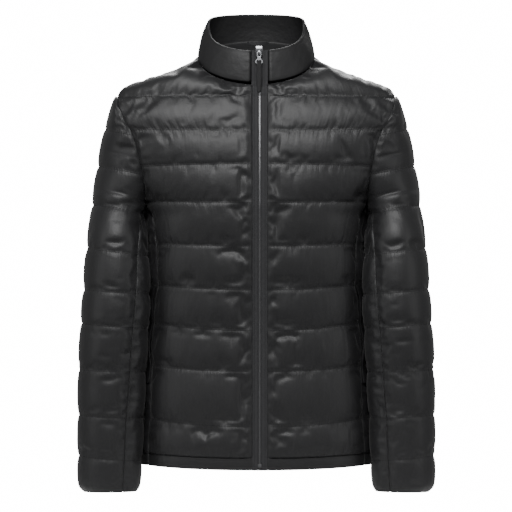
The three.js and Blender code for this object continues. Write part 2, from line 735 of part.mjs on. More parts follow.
// The pocket's welt lies on the side panel's cells next to the seam
function pocketWelt(side) {
  const cloth = new Cloth();
  const rows = quiltRows(BODY_QUILTS, 'middle', 'side');
  const span = rows.filter((row) => row.side <= POCKET.top && row.side >= POCKET.bottom);
  cloth.join(span.map((row) => {
    const rim = underarmCell(row, UNDERARM_COLUMNS);
    const next = underarmCell(row, UNDERARM_COLUMNS - 1);
    const wide = rim.place.distanceTo(next.place);
    return [SEAM_HALF, POCKET.width].map((distance) => {
      const share = distance / wide;
      const place = rim.place.clone().lerp(next.place, share);
      const out = rim.out.clone().lerp(next.out, share);
      const raised = WALL + BODY_PUFF * row.swell * lerp(rim.swelling, next.swelling, share);
      return cloth.add(toSide(place, side), POCKET.thick, toSide(out, side), raised + POCKET.lift);
    });
  }));
  return cloth.solid(bodyMiddle);
}

// Slider and pull. Their outlines are drawn level with the pull's axis and set in place together.
const PULL_AXIS = { x: 4.6, y: -74.5, z: 9.5 };
const PULL_LEAN = THREE.MathUtils.degToRad(7.5);
const SLIDER = { wide: 11, top: 11.5, foot: -6, front: 2.1, back: 13, plate: 2 };
const BRIDGE = { wide: 3, window: 2.6, depth: 2.1, bar: 1.3 };

function drawn(points) {
  return new THREE.Shape(points.map(([x, y]) => new THREE.Vector2(x, y)));
}

// An outline drawn in depth and height, given its width along X about the middle
function acrossX(shape, wide) {
  const geometry = new THREE.ExtrudeGeometry(shape, { depth: wide, bevelEnabled: false, curveSegments: 6 });
  geometry.translate(0, 0, -wide / 2);
  return geometry.applyMatrix4(new THREE.Matrix4().set(0, 0, 1, 0, 1, 0, 0, 0, 0, 1, 0, 0, 0, 0, 0, 1));
}

// An outline drawn in width and height, given its thickness along Y about the middle
function throughY(shape, thick) {
  const geometry = new THREE.ExtrudeGeometry(shape, { depth: thick, bevelEnabled: false, curveSegments: 6 });
  geometry.translate(0, 0, -thick / 2);
  return geometry.rotateX(Math.PI / 2);
}

function solidOf(geometry) {
  const bare = geometry.index ? geometry.toNonIndexed() : geometry.clone();
  bare.deleteAttribute('normal');
  bare.deleteAttribute('uv');
  const merged = mergeVertices(bare, 1e-4);
  return new wasm.Manifold(new wasm.Mesh({
    numProp: 3,
    vertProperties: merged.attributes.position.array,
    triVerts: Uint32Array.from(merged.index.array),
  }));
}

function geometryOf(solid) {
  const mesh = solid.getMesh();
  const geometry = new THREE.BufferGeometry();
  geometry.setAttribute('position', new THREE.BufferAttribute(mesh.vertProperties, 3));
  geometry.setIndex(new THREE.BufferAttribute(mesh.triVerts, 1));
  geometry.computeVertexNormals();
  return geometry;
}

// Two plates joined by a wedge over the tape, with the bridge that carries the pull in front
function zipSlider() {
  const { top, foot, front, back, plate } = SLIDER;
  const clip = drawn([
    [front, foot], [front + plate, foot], [front + plate, top - 4.5], [back - plate, top - 4.5],
    [back - plate, foot + 4], [back, foot + 4], [back, top - 1], [back - 1, top], [front + 1, top], [front,
    top - 1],
  ]);
  const { window: clear, depth, bar } = BRIDGE;
  const arch = drawn([
    [front + 0.5, clear + bar], [-depth, clear + bar], [-depth - bar, clear], [-depth - bar, -clear],
    [-depth, -clear - bar], [front + 0.5, -clear - bar], [front + 0.5, -clear], [-depth, -clear],
    [-depth, clear], [front + 0.5, clear],
  ]);
  const whole = solidOf(acrossX(clip, SLIDER.wide)).add(solidOf(acrossX(arch, BRIDGE.wide)));
  return geometryOf(whole);
}

// The pull: a plate with a slot for the bridge, a narrow waist and a ring for the tape tab
const PULL = { thick: 1.4, slotHalf: 2.1, slotTop: -0.8, slotFoot: -6.4, ringTop: -13, ringFoot: -17,
  ringHalf: 4.8 };

function pullTab() {
  const plate = drawn([
    [-3.4, 0], [-2.6, 0.9], [2.6, 0.9], [3.4, 0], [3.4, -6.2], [2.5, -9], [3.6, -11.3], [6, -13.6], [6.2,
    -16.4],
    [5.2, -18.3], [3, -19.3], [-3, -19.3], [-5.2, -18.3], [-6.2, -16.4], [-6, -13.6], [-3.6, -11.3], [-2.5,
    -9],
    [-3.4, -6.2],
  ]);
  const { slotHalf, slotTop, slotFoot, ringTop, ringFoot, ringHalf } = PULL;
  plate.holes.push(drawn([
    [-slotHalf, slotTop], [-slotHalf, slotFoot], [slotHalf, slotFoot], [slotHalf, slotTop],
  ]));
  plate.holes.push(drawn([
    [-ringHalf + 1.6, ringTop], [-ringHalf, ringFoot + 1], [-ringHalf + 1, ringFoot],
    [ringHalf - 1, ringFoot], [ringHalf, ringFoot + 1], [ringHalf - 1.6, ringTop],
  ]));
  return geometryOf(solidOf(throughY(plate, PULL.thick)));
}

// The tape tab is folded round the ring's foot and sewn flat below it
const TAPE_TAB = { half: 4.6, tipHalf: 2.6, top: -14.2, foot: -67, thick: 3.4, tipThick: 2.4 };

function pullTape() {
  const { half, tipHalf, top, foot, thick, tipThick } = TAPE_TAB;
  const outline = drawn([
    [-half + 1.2, top], [-half + 0.4, -20], [-half, -30], [-half + 0.4, -48], [-tipHalf - 0.4, foot + 4],
    [-tipHalf, foot], [tipHalf, foot], [tipHalf + 0.4, foot + 4], [half - 0.4, -48], [half, -30],
    [half - 0.4, -20], [half - 1.2, top],
  ]);
  const side = drawn([
    [-thick / 2, -15.2], [-thick / 2 + 0.8, top], [thick / 2 - 0.8, top], [thick / 2, -15.2], [thick / 2,
    -50],
    [tipThick / 2, foot], [-tipThick / 2, foot], [-thick / 2, -50],
  ]);
  const eye = PULL.thick / 2 + 0.3;
  side.holes.push(drawn([[-eye, -16.7], [-eye, -19.7], [eye, -19.7], [eye, -16.7]]));
  return geometryOf(solidOf(throughY(outline, 2 * thick)).intersect(solidOf(acrossX(side, 3 * half))));
}

const cloth = (name) => new THREE.MeshStandardMaterial({ name, color: 0x1d1e21, roughness: 0.42,
  metalness: 0 });
const shell = cloth('shell');
const tapeCloth = new THREE.MeshStandardMaterial({ name: 'zip tape', color: 0x151619, roughness: 0.75,
  metalness: 0 });
const metal = new THREE.MeshStandardMaterial({ name: 'zip metal', color: 0x8d8f94, roughness: 0.3,
  metalness: 1 });
const coilMetal = new THREE.MeshStandardMaterial({ name: 'zip coil', color: 0x77797e, roughness: 0.35,
  metalness: 0 });

const jacket = new THREE.Group();

function put(name, geometry, material, parent = jacket) {
  const mesh = new THREE.Mesh(geometry, material);
  mesh.name = name;
  parent.add(mesh);
}

for (const [side, word] of [[-1, 'left'], [1, 'right']]) {
  put(`front_${word}`, frontPanel(side), shell);
  put(`hem_${word}`, frontHem(side), shell);
  put(`sleeve_top_${word}`, sleeveTop(side), shell);
  put(`sleeve_under_${word}`, sleeveUnder(side), shell);
  put(`pocket_welt_${word}`, pocketWelt(side), shell);
  put(`zip_tape_${word}`, zipTape(side), tapeCloth);
}
put('back', backPanel(), shell);
put('hem_back', backHem(), shell);
put('collar', collar(), shell);
put('hanging_loop', hangingLoop(), tapeCloth);
put('zip_coil', zipCoil(), coilMetal);

const stop = new THREE.BoxGeometry(6, 1.6, 5);
stop.translate(ZIP_X, bodyPoint(ZIP_STOP_Z, 0, -1).y - COIL.lift - COIL.thick - 1.1, ZIP_STOP_Z);
put('zip_stop', stop, metal);

const sliderPlace = new THREE.Group();
sliderPlace.position.set(PULL_AXIS.x, PULL_AXIS.y, PULL_AXIS.z);
jacket.add(sliderPlace);
put('zip_slider', zipSlider(), metal, sliderPlace);
const pullPlace = new THREE.Group();
pullPlace.rotation.x = -PULL_LEAN;
sliderPlace.add(pullPlace);
put('pull_tab', pullTab(), metal, pullPlace);
put('pull_tape', pullTape(), tapeCloth, pullPlace);

export default jacket;
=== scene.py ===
# A quilted puffer jacket, filled out and zipped shut. Metres, +Z up, the front faces -Y.
# Sizes of the cut are written in millimetres, as a pattern maker gives them, and turned to metres once.

import math

import bmesh
import bpy
from mathutils import Matrix, Vector, noise


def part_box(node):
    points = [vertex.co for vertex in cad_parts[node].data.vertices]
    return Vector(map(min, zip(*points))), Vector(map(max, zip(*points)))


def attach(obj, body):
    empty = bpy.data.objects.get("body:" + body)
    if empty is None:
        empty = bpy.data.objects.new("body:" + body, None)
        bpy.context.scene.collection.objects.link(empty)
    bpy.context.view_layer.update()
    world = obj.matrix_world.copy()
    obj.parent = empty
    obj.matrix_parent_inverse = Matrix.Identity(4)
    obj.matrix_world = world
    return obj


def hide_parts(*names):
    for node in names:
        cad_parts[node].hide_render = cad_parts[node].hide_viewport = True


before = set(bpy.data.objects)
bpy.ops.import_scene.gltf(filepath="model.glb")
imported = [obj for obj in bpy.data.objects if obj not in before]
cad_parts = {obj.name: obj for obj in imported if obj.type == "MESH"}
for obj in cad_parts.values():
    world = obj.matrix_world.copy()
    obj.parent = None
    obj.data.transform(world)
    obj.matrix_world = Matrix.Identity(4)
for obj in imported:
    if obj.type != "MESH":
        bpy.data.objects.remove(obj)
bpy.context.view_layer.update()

MM = 0.001

# Cloth
WALL = 2.0
BODY_PUFF = 6.0
SLEEVE_PUFF = 4.0
COLLAR_WALL = 4.5
SEAM_HALF = 0.15
ARMHOLE_GAP = 0.7
CELL = 5.0
LINING_CELL = 20.0
SEAM_CREASE = 0.7
RIM_CREASE = 0.9

# How the padding rises: a share of it stands on the seams themselves, and it thins at sewn edges
SEAM_RISE = 0.5
YOKE_SHARE = 0.75
HEM_SHARE = 0.4
EDGE_REACH = 14.0
EDGE_SWELL = 0.2
CUFF_FOOT = -716.5
CUFF_ROUND = 13.0

# Puckers drawn in before the cloth is blown up
PUCKER_REACH = 9.0
PUCKER_PITCH = 9.0
SEED_PUCKER = 0.5

# The zip stands a little to the +X side of the middle
ZIP_X = 5.6
ZIP_HALF = 11.8

# Body sections by height: inside half width, depths to front and back, and where the widest place lies
BODY_SECTIONS = {
    "z":     (-684, -658, -598, -531, -454, -400, -320, -262, -237, -178, -121, -64, -50),
    "half":  (192.5, 192, 187.5, 184, 178, 174.5, 176, 176.5, 185, 190, 200, 200, 200),
    "front": (128, 128, 127, 125, 124, 125, 127, 124, 121, 114, 102, 81, 76),
    "back":  (102, 102, 100, 97, 93, 91, 95, 101, 103, 103, 97, 83, 80),
    "mid":   (8, 8, 8, 8, 8, 8, 8, 4, 1, 0, 0, 0, 0),
}
BODY_POWER = 2.5

# Where the side seam lies, set forward, as a share of the half width
SIDE_SEAM = {
    "z":     (-684, -596, -511, -471, -404, -369, -323, -267, -235),
    "share": (0.922, 0.925, 0.932, 0.95, 0.945, 0.92, 0.92, 0.956, 0.978),
}
SIDE_SEAM_TOP = -235

# Quilting seams of the body, at the zip and at the side
BODY_QUILTS = {
    "middle": (-63, -121, -176, -239, -310, -382, -449, -516, -607, -658),
    "side":   (-66, -118, -178, -235, -307, -375, -438, -509, -596, -653),
}
HEM = {"middle": -679, "side": -674}

# The armhole is an upright rounded ring, and this is how far out it stands at each height
ARMHOLE_MIDDLE = -152
ARMHOLE_HALF = 91.5
ARMHOLE_FRONT = 75
ARMHOLE_BACK = 77
ARMHOLE_POWER = 2.4
ARMHOLE_X = {
    "z": (-244, -222, -200, -174, -145, -123, -109, -90, -72, -60),
    "x": (182, 183, 185, 190, 197, 205, 214, 223, 229, 229),
}

# Neck ring, shoulder line and collar rim
NECK_HALF = 95
NECK_FRONT = 74
NECK_BACK = 68
NECK_DROP = 45
NECK_RISE = 30
SHOULDER = {"x": (95, 130, 175, 212, 229), "z": (-1, -15, -32, -47, -60.5)}
RIM_HALF = 77
RIM_FRONT = 66
RIM_BACK = 62
RIM_SIDE = 62
RIM_FALL = 49
RIM_RISE = 20
COLLAR_STAND = WALL + 0.5

# Quilting seams of the sleeve, on its outer side and on its inner side
SLEEVE_QUILTS = {
    "outer": (-61, -116, -178, -243, -315, -383, -439, -515, -590, -657, -716),
    "inner": (-67, -128, -192, -256.5, -327, -390, -446, -518, -594, -665, -716),
}

# Sleeve sections by height, and the turn in degrees of the under panel's seams from the inner edge
SLEEVE_OUTER = {
    "z": (-717, -705, -671, -591, -514, -437, -377, -318, -266, -213, -162, -119, -85, -61),
    "x": (284, 289, 290, 290, 289, 285, 281, 277, 271, 265, 257, 249, 238, 231),
}
SLEEVE_RINGS = {
    "z":      (-717, -673, -598, -531, -454, -400, -300, -260, -243),
    "inner":  (200, 196.5, 193.5, 190, 186, 182.5, 187, 189.5, 183),
    "middle": (-56, -56, -56, -55, -54, -51, -37, -19, -9),
    "half":   (46, 49, 52, 54, 57, 59, 63, 66, 68),
    "seam":   (60, 59, 57, 54, 52, 50, 38, 26, 24),
}
CAP_MID = -5
CAP_DEEP = 68


def lerp(a, b, t):
    return a + (b - a) * t


def clamp(value, low, high):
    return max(low, min(high, value))


def column(table, key, value, name):
    """Reads one column of a table by a smooth curve that doesn't overshoot."""
    keys = table[key]
    rows = table[name]
    v = clamp(value, keys[0], keys[-1])
    k = 0
    while k < len(keys) - 2 and v > keys[k + 1]:
        k += 1

    def slope(i):
        return (rows[i + 1] - rows[i]) / (keys[i + 1] - keys[i])

    def tangent(i):
        if i == 0:
            return slope(0)
        if i == len(keys) - 1:
            return slope(i - 1)
        before = slope(i - 1)
        after = slope(i)
        return 0 if before * after <= 0 else 2 * before * after / (before + after)

    width = keys[k + 1] - keys[k]
    t = (v - keys[k]) / width
    bump = t * (1 - t)
    flat = lerp(rows[k], rows[k + 1], t * t * (3 - 2 * t))
    return flat + bump * (1 - t) * width * tangent(k) - bump * t * width * tangent(k + 1)


def at(table, z, name):
    return column(table, "z", z, name)


def swell(t):
    """Height of a channel's swelling, 0 at its seams and 1 in the middle."""
    return math.sin(math.pi * clamp(t, 0, 1)) ** 0.7


def armhole_y(z, way):
    up = clamp(abs((z - ARMHOLE_MIDDLE) / ARMHOLE_HALF), 0, 1)
    reach = ARMHOLE_FRONT if way < 0 else ARMHOLE_BACK
    return way * reach * (1 - up ** ARMHOLE_POWER) ** (1 / ARMHOLE_POWER)


def armhole_foot(y):
    reach = ARMHOLE_FRONT if y < 0 else ARMHOLE_BACK
    z = ARMHOLE_MIDDLE - ARMHOLE_HALF * (1 - (abs(y) / reach) ** ARMHOLE_POWER) ** (1 / ARMHOLE_POWER)
    return Vector((at(ARMHOLE_X, z, "x"), y, z))


def body_section(z, way):
    deep = at(BODY_SECTIONS, z, "front" if way < 0 else "back")
    mid = at(BODY_SECTIONS, z, "mid")
    if z < SIDE_SEAM_TOP:
        return at(BODY_SECTIONS, z, "half"), deep, mid
    edge = abs(armhole_y(z, way) - mid)
    share = (1 - (edge / deep) ** BODY_POWER) ** (1 / BODY_POWER)
    return at(ARMHOLE_X, z, "x") / share, deep, mid


def body_turn(section, x):
    return math.asin(clamp(x / section[0], 0, 1) ** (BODY_POWER / 2))


def body_point(z, turn, way):
    half, deep, mid = body_section(z, way)
    x = half * math.sin(turn) ** (2 / BODY_POWER)
    return Vector((x, mid + way * deep * max(math.cos(turn), 0) ** (2 / BODY_POWER), z))


def front_end(z):
    if z >= SIDE_SEAM_TOP:
        return at(ARMHOLE_X, z, "x")
    return body_section(z, -1)[0] * at(SIDE_SEAM, z, "share")


def neck_point(turn):
    c = math.cos(turn)
    reach, rise = (NECK_FRONT, NECK_DROP) if c > 0 else (NECK_BACK, NECK_RISE)
    return Vector((NECK_HALF * math.sin(turn), -reach * c, -rise * c))


def rim_point(turn):
    c = math.cos(turn)
    reach = RIM_FRONT if c > 0 else RIM_BACK
    rise = -RIM_FALL * c ** 0.65 if c > 0 else RIM_RISE * (-c) ** 0.5
    return Vector((RIM_HALF * math.sin(turn), -reach * c, RIM_SIDE + rise))


def zip_edge(side):
    return ZIP_HALF + 2 * SEAM_HALF + side * ZIP_X


def section_out(x, y, half, deep, power):
    """The level direction straight out of a rounded section."""
    out_x = math.copysign((abs(x) / half) ** (power - 1) / half, x)
    out_y = math.copysign((abs(y) / deep) ** (power - 1) / deep, y)
    return Vector((out_x, out_y, 0)).normalized()


def body_out(place, way):
    half, deep, mid = body_section(place.z, way)
    return section_out(place.x, place.y - mid, half, deep, BODY_POWER)


def row_height(channel, t, share):
    """Height of a body row: a place t between a channel's seams, at a share of the way to the side."""
    middle = lerp(channel[0], channel[2], t)
    side = lerp(channel[1], channel[3], t)
    return lerp(middle, side, share ** 1.6)


def blended_turn(section, start, end, share):
    """Half by distance and half by turn, so that the cells stay even round the side."""
    level = body_turn(section, lerp(start, end, share))
    turned = lerp(body_turn(section, start), body_turn(section, end), share)
    return lerp(level, turned, 0.5)


def front_place(channel, t, share, zip_x):
    z = row_height(channel, t, share)
    return body_point(z, blended_turn(body_section(z, -1), zip_x, front_end(z) - SEAM_HALF, share), -1)


def back_place(channel, t, share):
    z = row_height(channel, t, share)
    return body_point(z, blended_turn(body_section(z, 1), 0, front_end(z), share), 1)


def underarm_place(channel, t, share):
    """On round the side, from where the back turns (0) to the side seam (1)."""
    z = lerp(channel[1], channel[3], t)
    if z >= SIDE_SEAM_TOP:
        return armhole_foot(lerp(armhole_y(z, 1), armhole_y(z, -1) + 2 * SEAM_HALF, share))
    start = body_turn(body_section(z, 1), front_end(z))
    end = math.pi - body_turn(body_section(z, -1), front_end(z) + SEAM_HALF)
    turn = lerp(start, end, share)
    if turn < math.pi / 2:
        return body_point(z, turn, 1)
    return body_point(z, math.pi - turn, -1)


NECK_PART = 0.5
FIRST_QUILT = (BODY_QUILTS["middle"][0], BODY_QUILTS["side"][0]) * 2


def upper_edge(share, start_turn, way):
    """A panel's upper edge: along the neck, then out along the shoulder."""
    if share <= NECK_PART:
        turn = lerp(start_turn, math.pi / 2, share / NECK_PART)
        return neck_point(turn if way < 0 else math.pi - turn)
    t = (share - NECK_PART) / (1 - NECK_PART)
    x = lerp(SHOULDER["x"][0], SHOULDER["x"][-1], t)
    return Vector((x, way * SEAM_HALF, column(SHOULDER, "x", x, "z")))


def yoke_place(low, high, t):
    """Rounds a yoke from the first quilting seam (0) up to the neck and shoulder (1)."""
    bend = Vector((lerp(low.x, high.x, 0.4), low.y * 0.99, lerp(low.z, high.z, 0.78)))
    return low * (1 - t) ** 2 + bend * 2 * t * (1 - t) + high * t ** 2


def sleeve_ring(z, row_inner, way):
    outer = at(SLEEVE_OUTER, z, "x")
    if row_inner < SIDE_SEAM_TOP - 1:
        seam = math.radians(at(SLEEVE_RINGS, z, "seam"))
        wide = (outer - at(SLEEVE_RINGS, z, "inner")) / 2
        return outer, wide, at(SLEEVE_RINGS, z, "half"), at(SLEEVE_RINGS, z, "middle"), seam
    rim_z = max(row_inner, SIDE_SEAM_TOP)
    rim_y = abs(armhole_y(rim_z, way))
    low = clamp((ARMHOLE_MIDDLE - rim_z) / (ARMHOLE_MIDDLE - SIDE_SEAM_TOP), 0, 1)
    mid = CAP_MID * low
    deep = lerp(abs(armhole_y(ARMHOLE_MIDDLE, way)), CAP_DEEP, low) if low > 0 else rim_y
    seam = math.asin(clamp((rim_y - way * mid) / deep, 0, 1))
    edge = at(ARMHOLE_X, rim_z, "x") + ARMHOLE_GAP
    return outer, (outer - edge) / (1 + math.cos(seam)), deep, mid, seam


def ring_place(ring, turn, way, z):
    outer, wide, deep, mid, seam = ring
    return Vector((outer - wide * (1 + math.cos(turn)), mid + way * deep * math.sin(turn), z))


def sleeve_top_place(outer_z, inner_z, share):
    """From the front seam (0) round the outside (0.5) to the back seam (1)."""
    way = -1 if share <= 0.5 else 1
    away = abs(1 - 2 * share)
    edge = sleeve_ring(inner_z, inner_z, way)
    turn = lerp(math.pi, edge[4], away)
    if inner_z < SIDE_SEAM_TOP - 1:
        z = lerp(outer_z, inner_z, (1 + math.cos(turn)) / 2)
        return ring_place(sleeve_ring(z, inner_z, way), turn, way, z)
    outer = at(SLEEVE_OUTER, outer_z, "x")
    wide = edge[1] + (outer - edge[0]) / (1 + math.cos(edge[4]))
    z = lerp(outer_z, max(inner_z, SIDE_SEAM_TOP), away ** 1.5)
    return ring_place((outer, wide) + edge[2:], turn, way, z)


def sleeve_under_place(outer_z, inner_z, share):
    """From the front seam (0) past the inner edge to the back seam (1)."""
    away = 1 - 2 * share
    way = -1 if away > 0 else 1
    turn = abs(away) * sleeve_ring(inner_z, inner_z, way)[4]
    z = lerp(outer_z, inner_z, (1 + math.cos(turn)) / 2)
    return ring_place(sleeve_ring(z, inner_z, way), turn, way, z)


def make_channels(quilts, first, second):
    """Pairs of quilting seams, each as (upper first, upper second, lower first, lower second)."""
    upper = list(zip(quilts[first], quilts[second]))
    return [above + below for above, below in zip(upper, upper[1:])]


BODY_CHANNELS = make_channels(BODY_QUILTS, "middle", "side")
HEM_CHANNEL = (BODY_QUILTS["middle"][-1] - 0.4, BODY_QUILTS["side"][-1] - 0.4, HEM["middle"], HEM["side"])
SLEEVE_CHANNELS = make_channels(SLEEVE_QUILTS, "outer", "inner")
YOKE_LENGTH = 75


def stations(channels, cell, yoke_length=0):
    """Rows from the top down, as (channel number, place in it); number -1 is the yoke."""
    yoke_rows = round(yoke_length / cell)
    rows = [(-1, 1 - r / yoke_rows) for r in range(yoke_rows)]
    for k, channel in enumerate(channels):
        count = max(3, round((channel[0] - channel[2]) / cell))
        rows += [(k, r / count) for r in range(count)]
    return rows + [(len(channels) - 1, 1.0)]


def seam_nearness(t, depth):
    """1 on a quilting seam, fading within a few millimetres of it."""
    return math.exp(-min(t, 1 - t) * depth / PUCKER_REACH)


def edge_factor(distance):
    """The padding thins towards a sewn edge."""
    t = clamp(distance / EDGE_REACH, 0, 1)
    return lerp(EDGE_SWELL, 1, math.sin(t * math.pi / 2))


def new_cloth():
    bm = bmesh.new()
    for name in ("swell", "rise", "pucker", "u", "v", "seam"):
        bm.verts.layers.float.new(name)
    return bm


def add_patch(bm, columns, rows, span, place, channels, thin_start, thin_end, seed):
    """Adds a grid of cloth: columns across, one row of points a station, put in place by a function.

    span is the cloth's width in millimetres; thin_start and thin_end say which edges are sewn down."""
    made = bmesh.ops.create_grid(bm, x_segments=columns, y_segments=len(rows) - 1, size=1)
    swell_layer = bm.verts.layers.float["swell"]
    rise_layer = bm.verts.layers.float["rise"]
    pucker_layer = bm.verts.layers.float["pucker"]
    u_layer = bm.verts.layers.float["u"]
    v_layer = bm.verts.layers.float["v"]
    seam_layer = bm.verts.layers.float["seam"]
    for vert in made["verts"]:
        share = (vert.co.x + 1) / 2
        index = round((vert.co.y + 1) / 2 * (len(rows) - 1))
        k, t = rows[index]
        vert.co = place(k, t, share)
        deep = 60.0 if k < 0 else channels[k][0] - channels[k][2]
        factor = 1.0
        near = 0.0
        if thin_start:
            factor = min(factor, edge_factor(share * span))
            near = max(near, math.exp(-share * span / PUCKER_REACH))
        if thin_end:
            factor = min(factor, edge_factor((1 - share) * span))
            near = max(near, math.exp(-(1 - share) * span / PUCKER_REACH))
        vert[swell_layer] = swell(t) * factor
        low = SEAM_RISE * (1 - t) if k < 0 else SEAM_RISE
        vert[rise_layer] = lerp(low, 1, swell(t)) * factor * (YOKE_SHARE if k < 0 else 1)
        vert[u_layer] = share * span
        vert[v_layer] = index * CELL
        vert[seam_layer] = 1.0 if t in (0.0, 1.0) and k >= 0 else 0.0
        along = noise.noise(Vector((share * span / PUCKER_PITCH, k * 3.7 + seed, t * 0.8)))
        across = noise.noise(Vector((seed, index * CELL / PUCKER_PITCH, share * 1.5)))
        vert[pucker_layer] = along * seam_nearness(t, deep) + across * near
    return made["verts"]


def turn_faces_out(bm, middle):
    """A sheet's faces turn away from the middle of the limb that they go round."""
    bm.normal_update()
    facing = sum((f.calc_center_median() - middle(f.calc_center_median())).dot(f.normal) for f in bm.faces)
    if facing < 0:
        bmesh.ops.reverse_faces(bm, faces=bm.faces[:])
    bm.normal_update()


def mirror_x(bm):
    bmesh.ops.scale(bm, vec=(-1, 1, 1), verts=bm.verts[:])


def raise_cloth(bm, wall, puff, pucker):
    """Moves the inside's points out to the padded outside, and keeps the inside's place."""
    base_layer = bm.verts.layers.float_vector.new("base")
    rise_layer = bm.verts.layers.float["rise"]
    pucker_layer = bm.verts.layers.float["pucker"]
    moves = []
    for vert in bm.verts:
        rise = wall + puff * vert[rise_layer] + pucker * vert[pucker_layer]
        moves.append(vert.normal * rise)
    for vert, move in zip(bm.verts, moves):
        vert[base_layer] = vert.co.copy()
        vert.co += move


def cloth_object(bm, name):
    """A mesh object in metres, with the cloth's own lengths as its UV map."""
    uv = bm.loops.layers.uv.new("cloth")
    u_layer = bm.verts.layers.float["u"]
    v_layer = bm.verts.layers.float["v"]
    for face in bm.faces:
        face.smooth = True
        for loop in face.loops:
            loop[uv].uv = (loop.vert[u_layer] * MM, loop.vert[v_layer] * MM)
    bmesh.ops.scale(bm, vec=(MM, MM, MM), verts=bm.verts[:])
    mesh = bpy.data.meshes.new(name)
    bm.to_mesh(mesh)
    obj = bpy.data.objects.new(name, mesh)
    bpy.context.scene.collection.objects.link(obj)
    return obj


SPARE_CLOTH = 0.055
PRESSURE = 5.0
SIM_FRAMES = 16
MOST_MOVE = 5.5 * MM
SWELL_LIMIT = 1.2 * MM


def puff_up(obj, pinned):
    """Blows the padding up between the sewn lines; spare cloth gathers into puckers beside them."""
    start = [v.co.copy() for v in obj.data.vertices]
    normals = [v.normal.copy() for v in obj.data.vertices]
    group = obj.vertex_groups.new(name="sewn")
    group.add(pinned, 1.0, "REPLACE")
    cloth = obj.modifiers.new("Cloth", "CLOTH")
    settings = cloth.settings
    settings.quality = 5
    settings.mass = 0.04
    settings.tension_stiffness = 18
    settings.compression_stiffness = 12
    settings.shear_stiffness = 6
    settings.bending_stiffness = 0.03
    settings.tension_damping = 12
    settings.compression_damping = 12
    settings.shear_damping = 8
    settings.air_damping = 4
    settings.shrink_min = -SPARE_CLOTH
    settings.use_pressure = True
    settings.uniform_pressure_force = PRESSURE
    settings.vertex_group_mass = "sewn"
    settings.effector_weights.gravity = 0
    cloth.collision_settings.use_collision = False
    cloth.point_cache.frame_end = SIM_FRAMES
    scene = bpy.context.scene
    for frame_number in range(1, SIM_FRAMES + 1):
        scene.frame_set(frame_number)
    settled = obj.evaluated_get(bpy.context.evaluated_depsgraph_get())
    places = [v.co.copy() for v in settled.data.vertices]
    obj.modifiers.remove(cloth)
    obj.vertex_groups.remove(group)
    for vert, place, first, normal in zip(obj.data.vertices, places, start, normals):
        move = place - first
        over = move.dot(normal) - SWELL_LIMIT
        if over > 0:
            move -= normal * over * 0.8
        if move.length > MOST_MOVE:
            move *= MOST_MOVE / move.length
        vert.co = first + move
    scene.frame_set(1)


def body_middle(place):
    return Vector((0, 0, min(place.z, -70)))


def sleeve_middle(place):
    return Vector((240, -30, min(place.z, -130)))


def sewn_points(bm):
    """Numbers of the points on quilting seams and on the piece's edges."""
    seam_layer = bm.verts.layers.float["seam"]
    return [v.index for v in bm.verts if v[seam_layer] > 0.5 or v.is_boundary]


def crease_seams(bm):
    """Keeps the sewn lines sharp where the cloth is smoothed."""
    crease_layer = bm.edges.layers.float.new("crease_edge")
    seam_layer = bm.verts.layers.float["seam"]
    for edge in bm.edges:
        if edge.verts[0][seam_layer] > 0.5 and edge.verts[1][seam_layer] > 0.5:
            edge[crease_layer] = SEAM_CREASE


def close_edge(obj):
    """Turns the sewn edge in, from the raised outside down to the lining."""
    bm = bmesh.new()
    bm.from_mesh(obj.data)
    crease_layer = bm.edges.layers.float["crease_edge"]
    rim = [e for e in bm.edges if e.is_boundary]
    for edge in rim:
        edge[crease_layer] = RIM_CREASE
    made = bmesh.ops.extrude_edge_only(bm, edges=rim)["geom"]
    base_layer = bm.verts.layers.float_vector["base"]
    for part in made:
        if isinstance(part, bmesh.types.BMVert):
            part.co = part[base_layer] * MM
        elif isinstance(part, bmesh.types.BMFace):
            part.smooth = True
    bmesh.ops.recalc_face_normals(bm, faces=bm.faces[:])
    bm.to_mesh(obj.data)
    bm.free()


def add_lining(obj, lining):
    """Joins the plain inside to a panel, as its second material."""
    bm = bmesh.new()
    bm.from_mesh(obj.data)
    first = len(bm.faces)
    bm.from_mesh(lining)
    bm.faces.ensure_lookup_table()
    for face in bm.faces[first:]:
        face.material_index = 1
        face.normal_flip()
    bm.to_mesh(obj.data)
    bm.free()
    bpy.data.meshes.remove(lining)


def smooth_cloth(obj):
    smooth = obj.modifiers.new("Smooth", "SUBSURF")
    smooth.levels = 1
    smooth.render_levels = 1


def face_out(bm, middle, side):
    if side < 0:
        mirror_x(bm)
    turn_faces_out(bm, lambda place: Vector((side, 1, 1)) * middle(place))


def quilted(name, node, draw, middle, puff, side, blown=True):
    """A padded panel: drawn as its plain inside, raised, blown up, its edges turned in to the lining.

    draw(bm, cell) adds the panel's patches with cells of about that many millimetres."""
    bm = new_cloth()
    draw(bm, CELL)
    face_out(bm, middle, side)
    raise_cloth(bm, WALL, puff, SEED_PUCKER)
    crease_seams(bm)
    bm.verts.index_update()
    pinned = sewn_points(bm)
    obj = cloth_object(bm, name)
    bm.free()
    if blown:
        puff_up(obj, pinned)
        sew(obj, f"stitches_{name}")
    close_edge(obj)
    plain = new_cloth()
    draw(plain, LINING_CELL)
    face_out(plain, middle, side)
    inside = cloth_object(plain, f"{name}_inside")
    plain.free()
    mesh = inside.data
    bpy.data.objects.remove(inside)
    add_lining(obj, mesh)
    smooth_cloth(obj)
    obj.data.materials.append(SHELL)
    obj.data.materials.append(LINING)
    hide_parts(node)
    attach(obj, "jacket")
    return obj


FRONT_SPAN = 260
BACK_SPAN = 240
UNDERARM_SPAN = 115
SLEEVE_TOP_SPAN = 230
SLEEVE_UNDER_SPAN = 105
SIDES = ((-1, "left"), (1, "right"))


def to_side(place, side):
    return Vector((place.x * side, place.y, place.z))


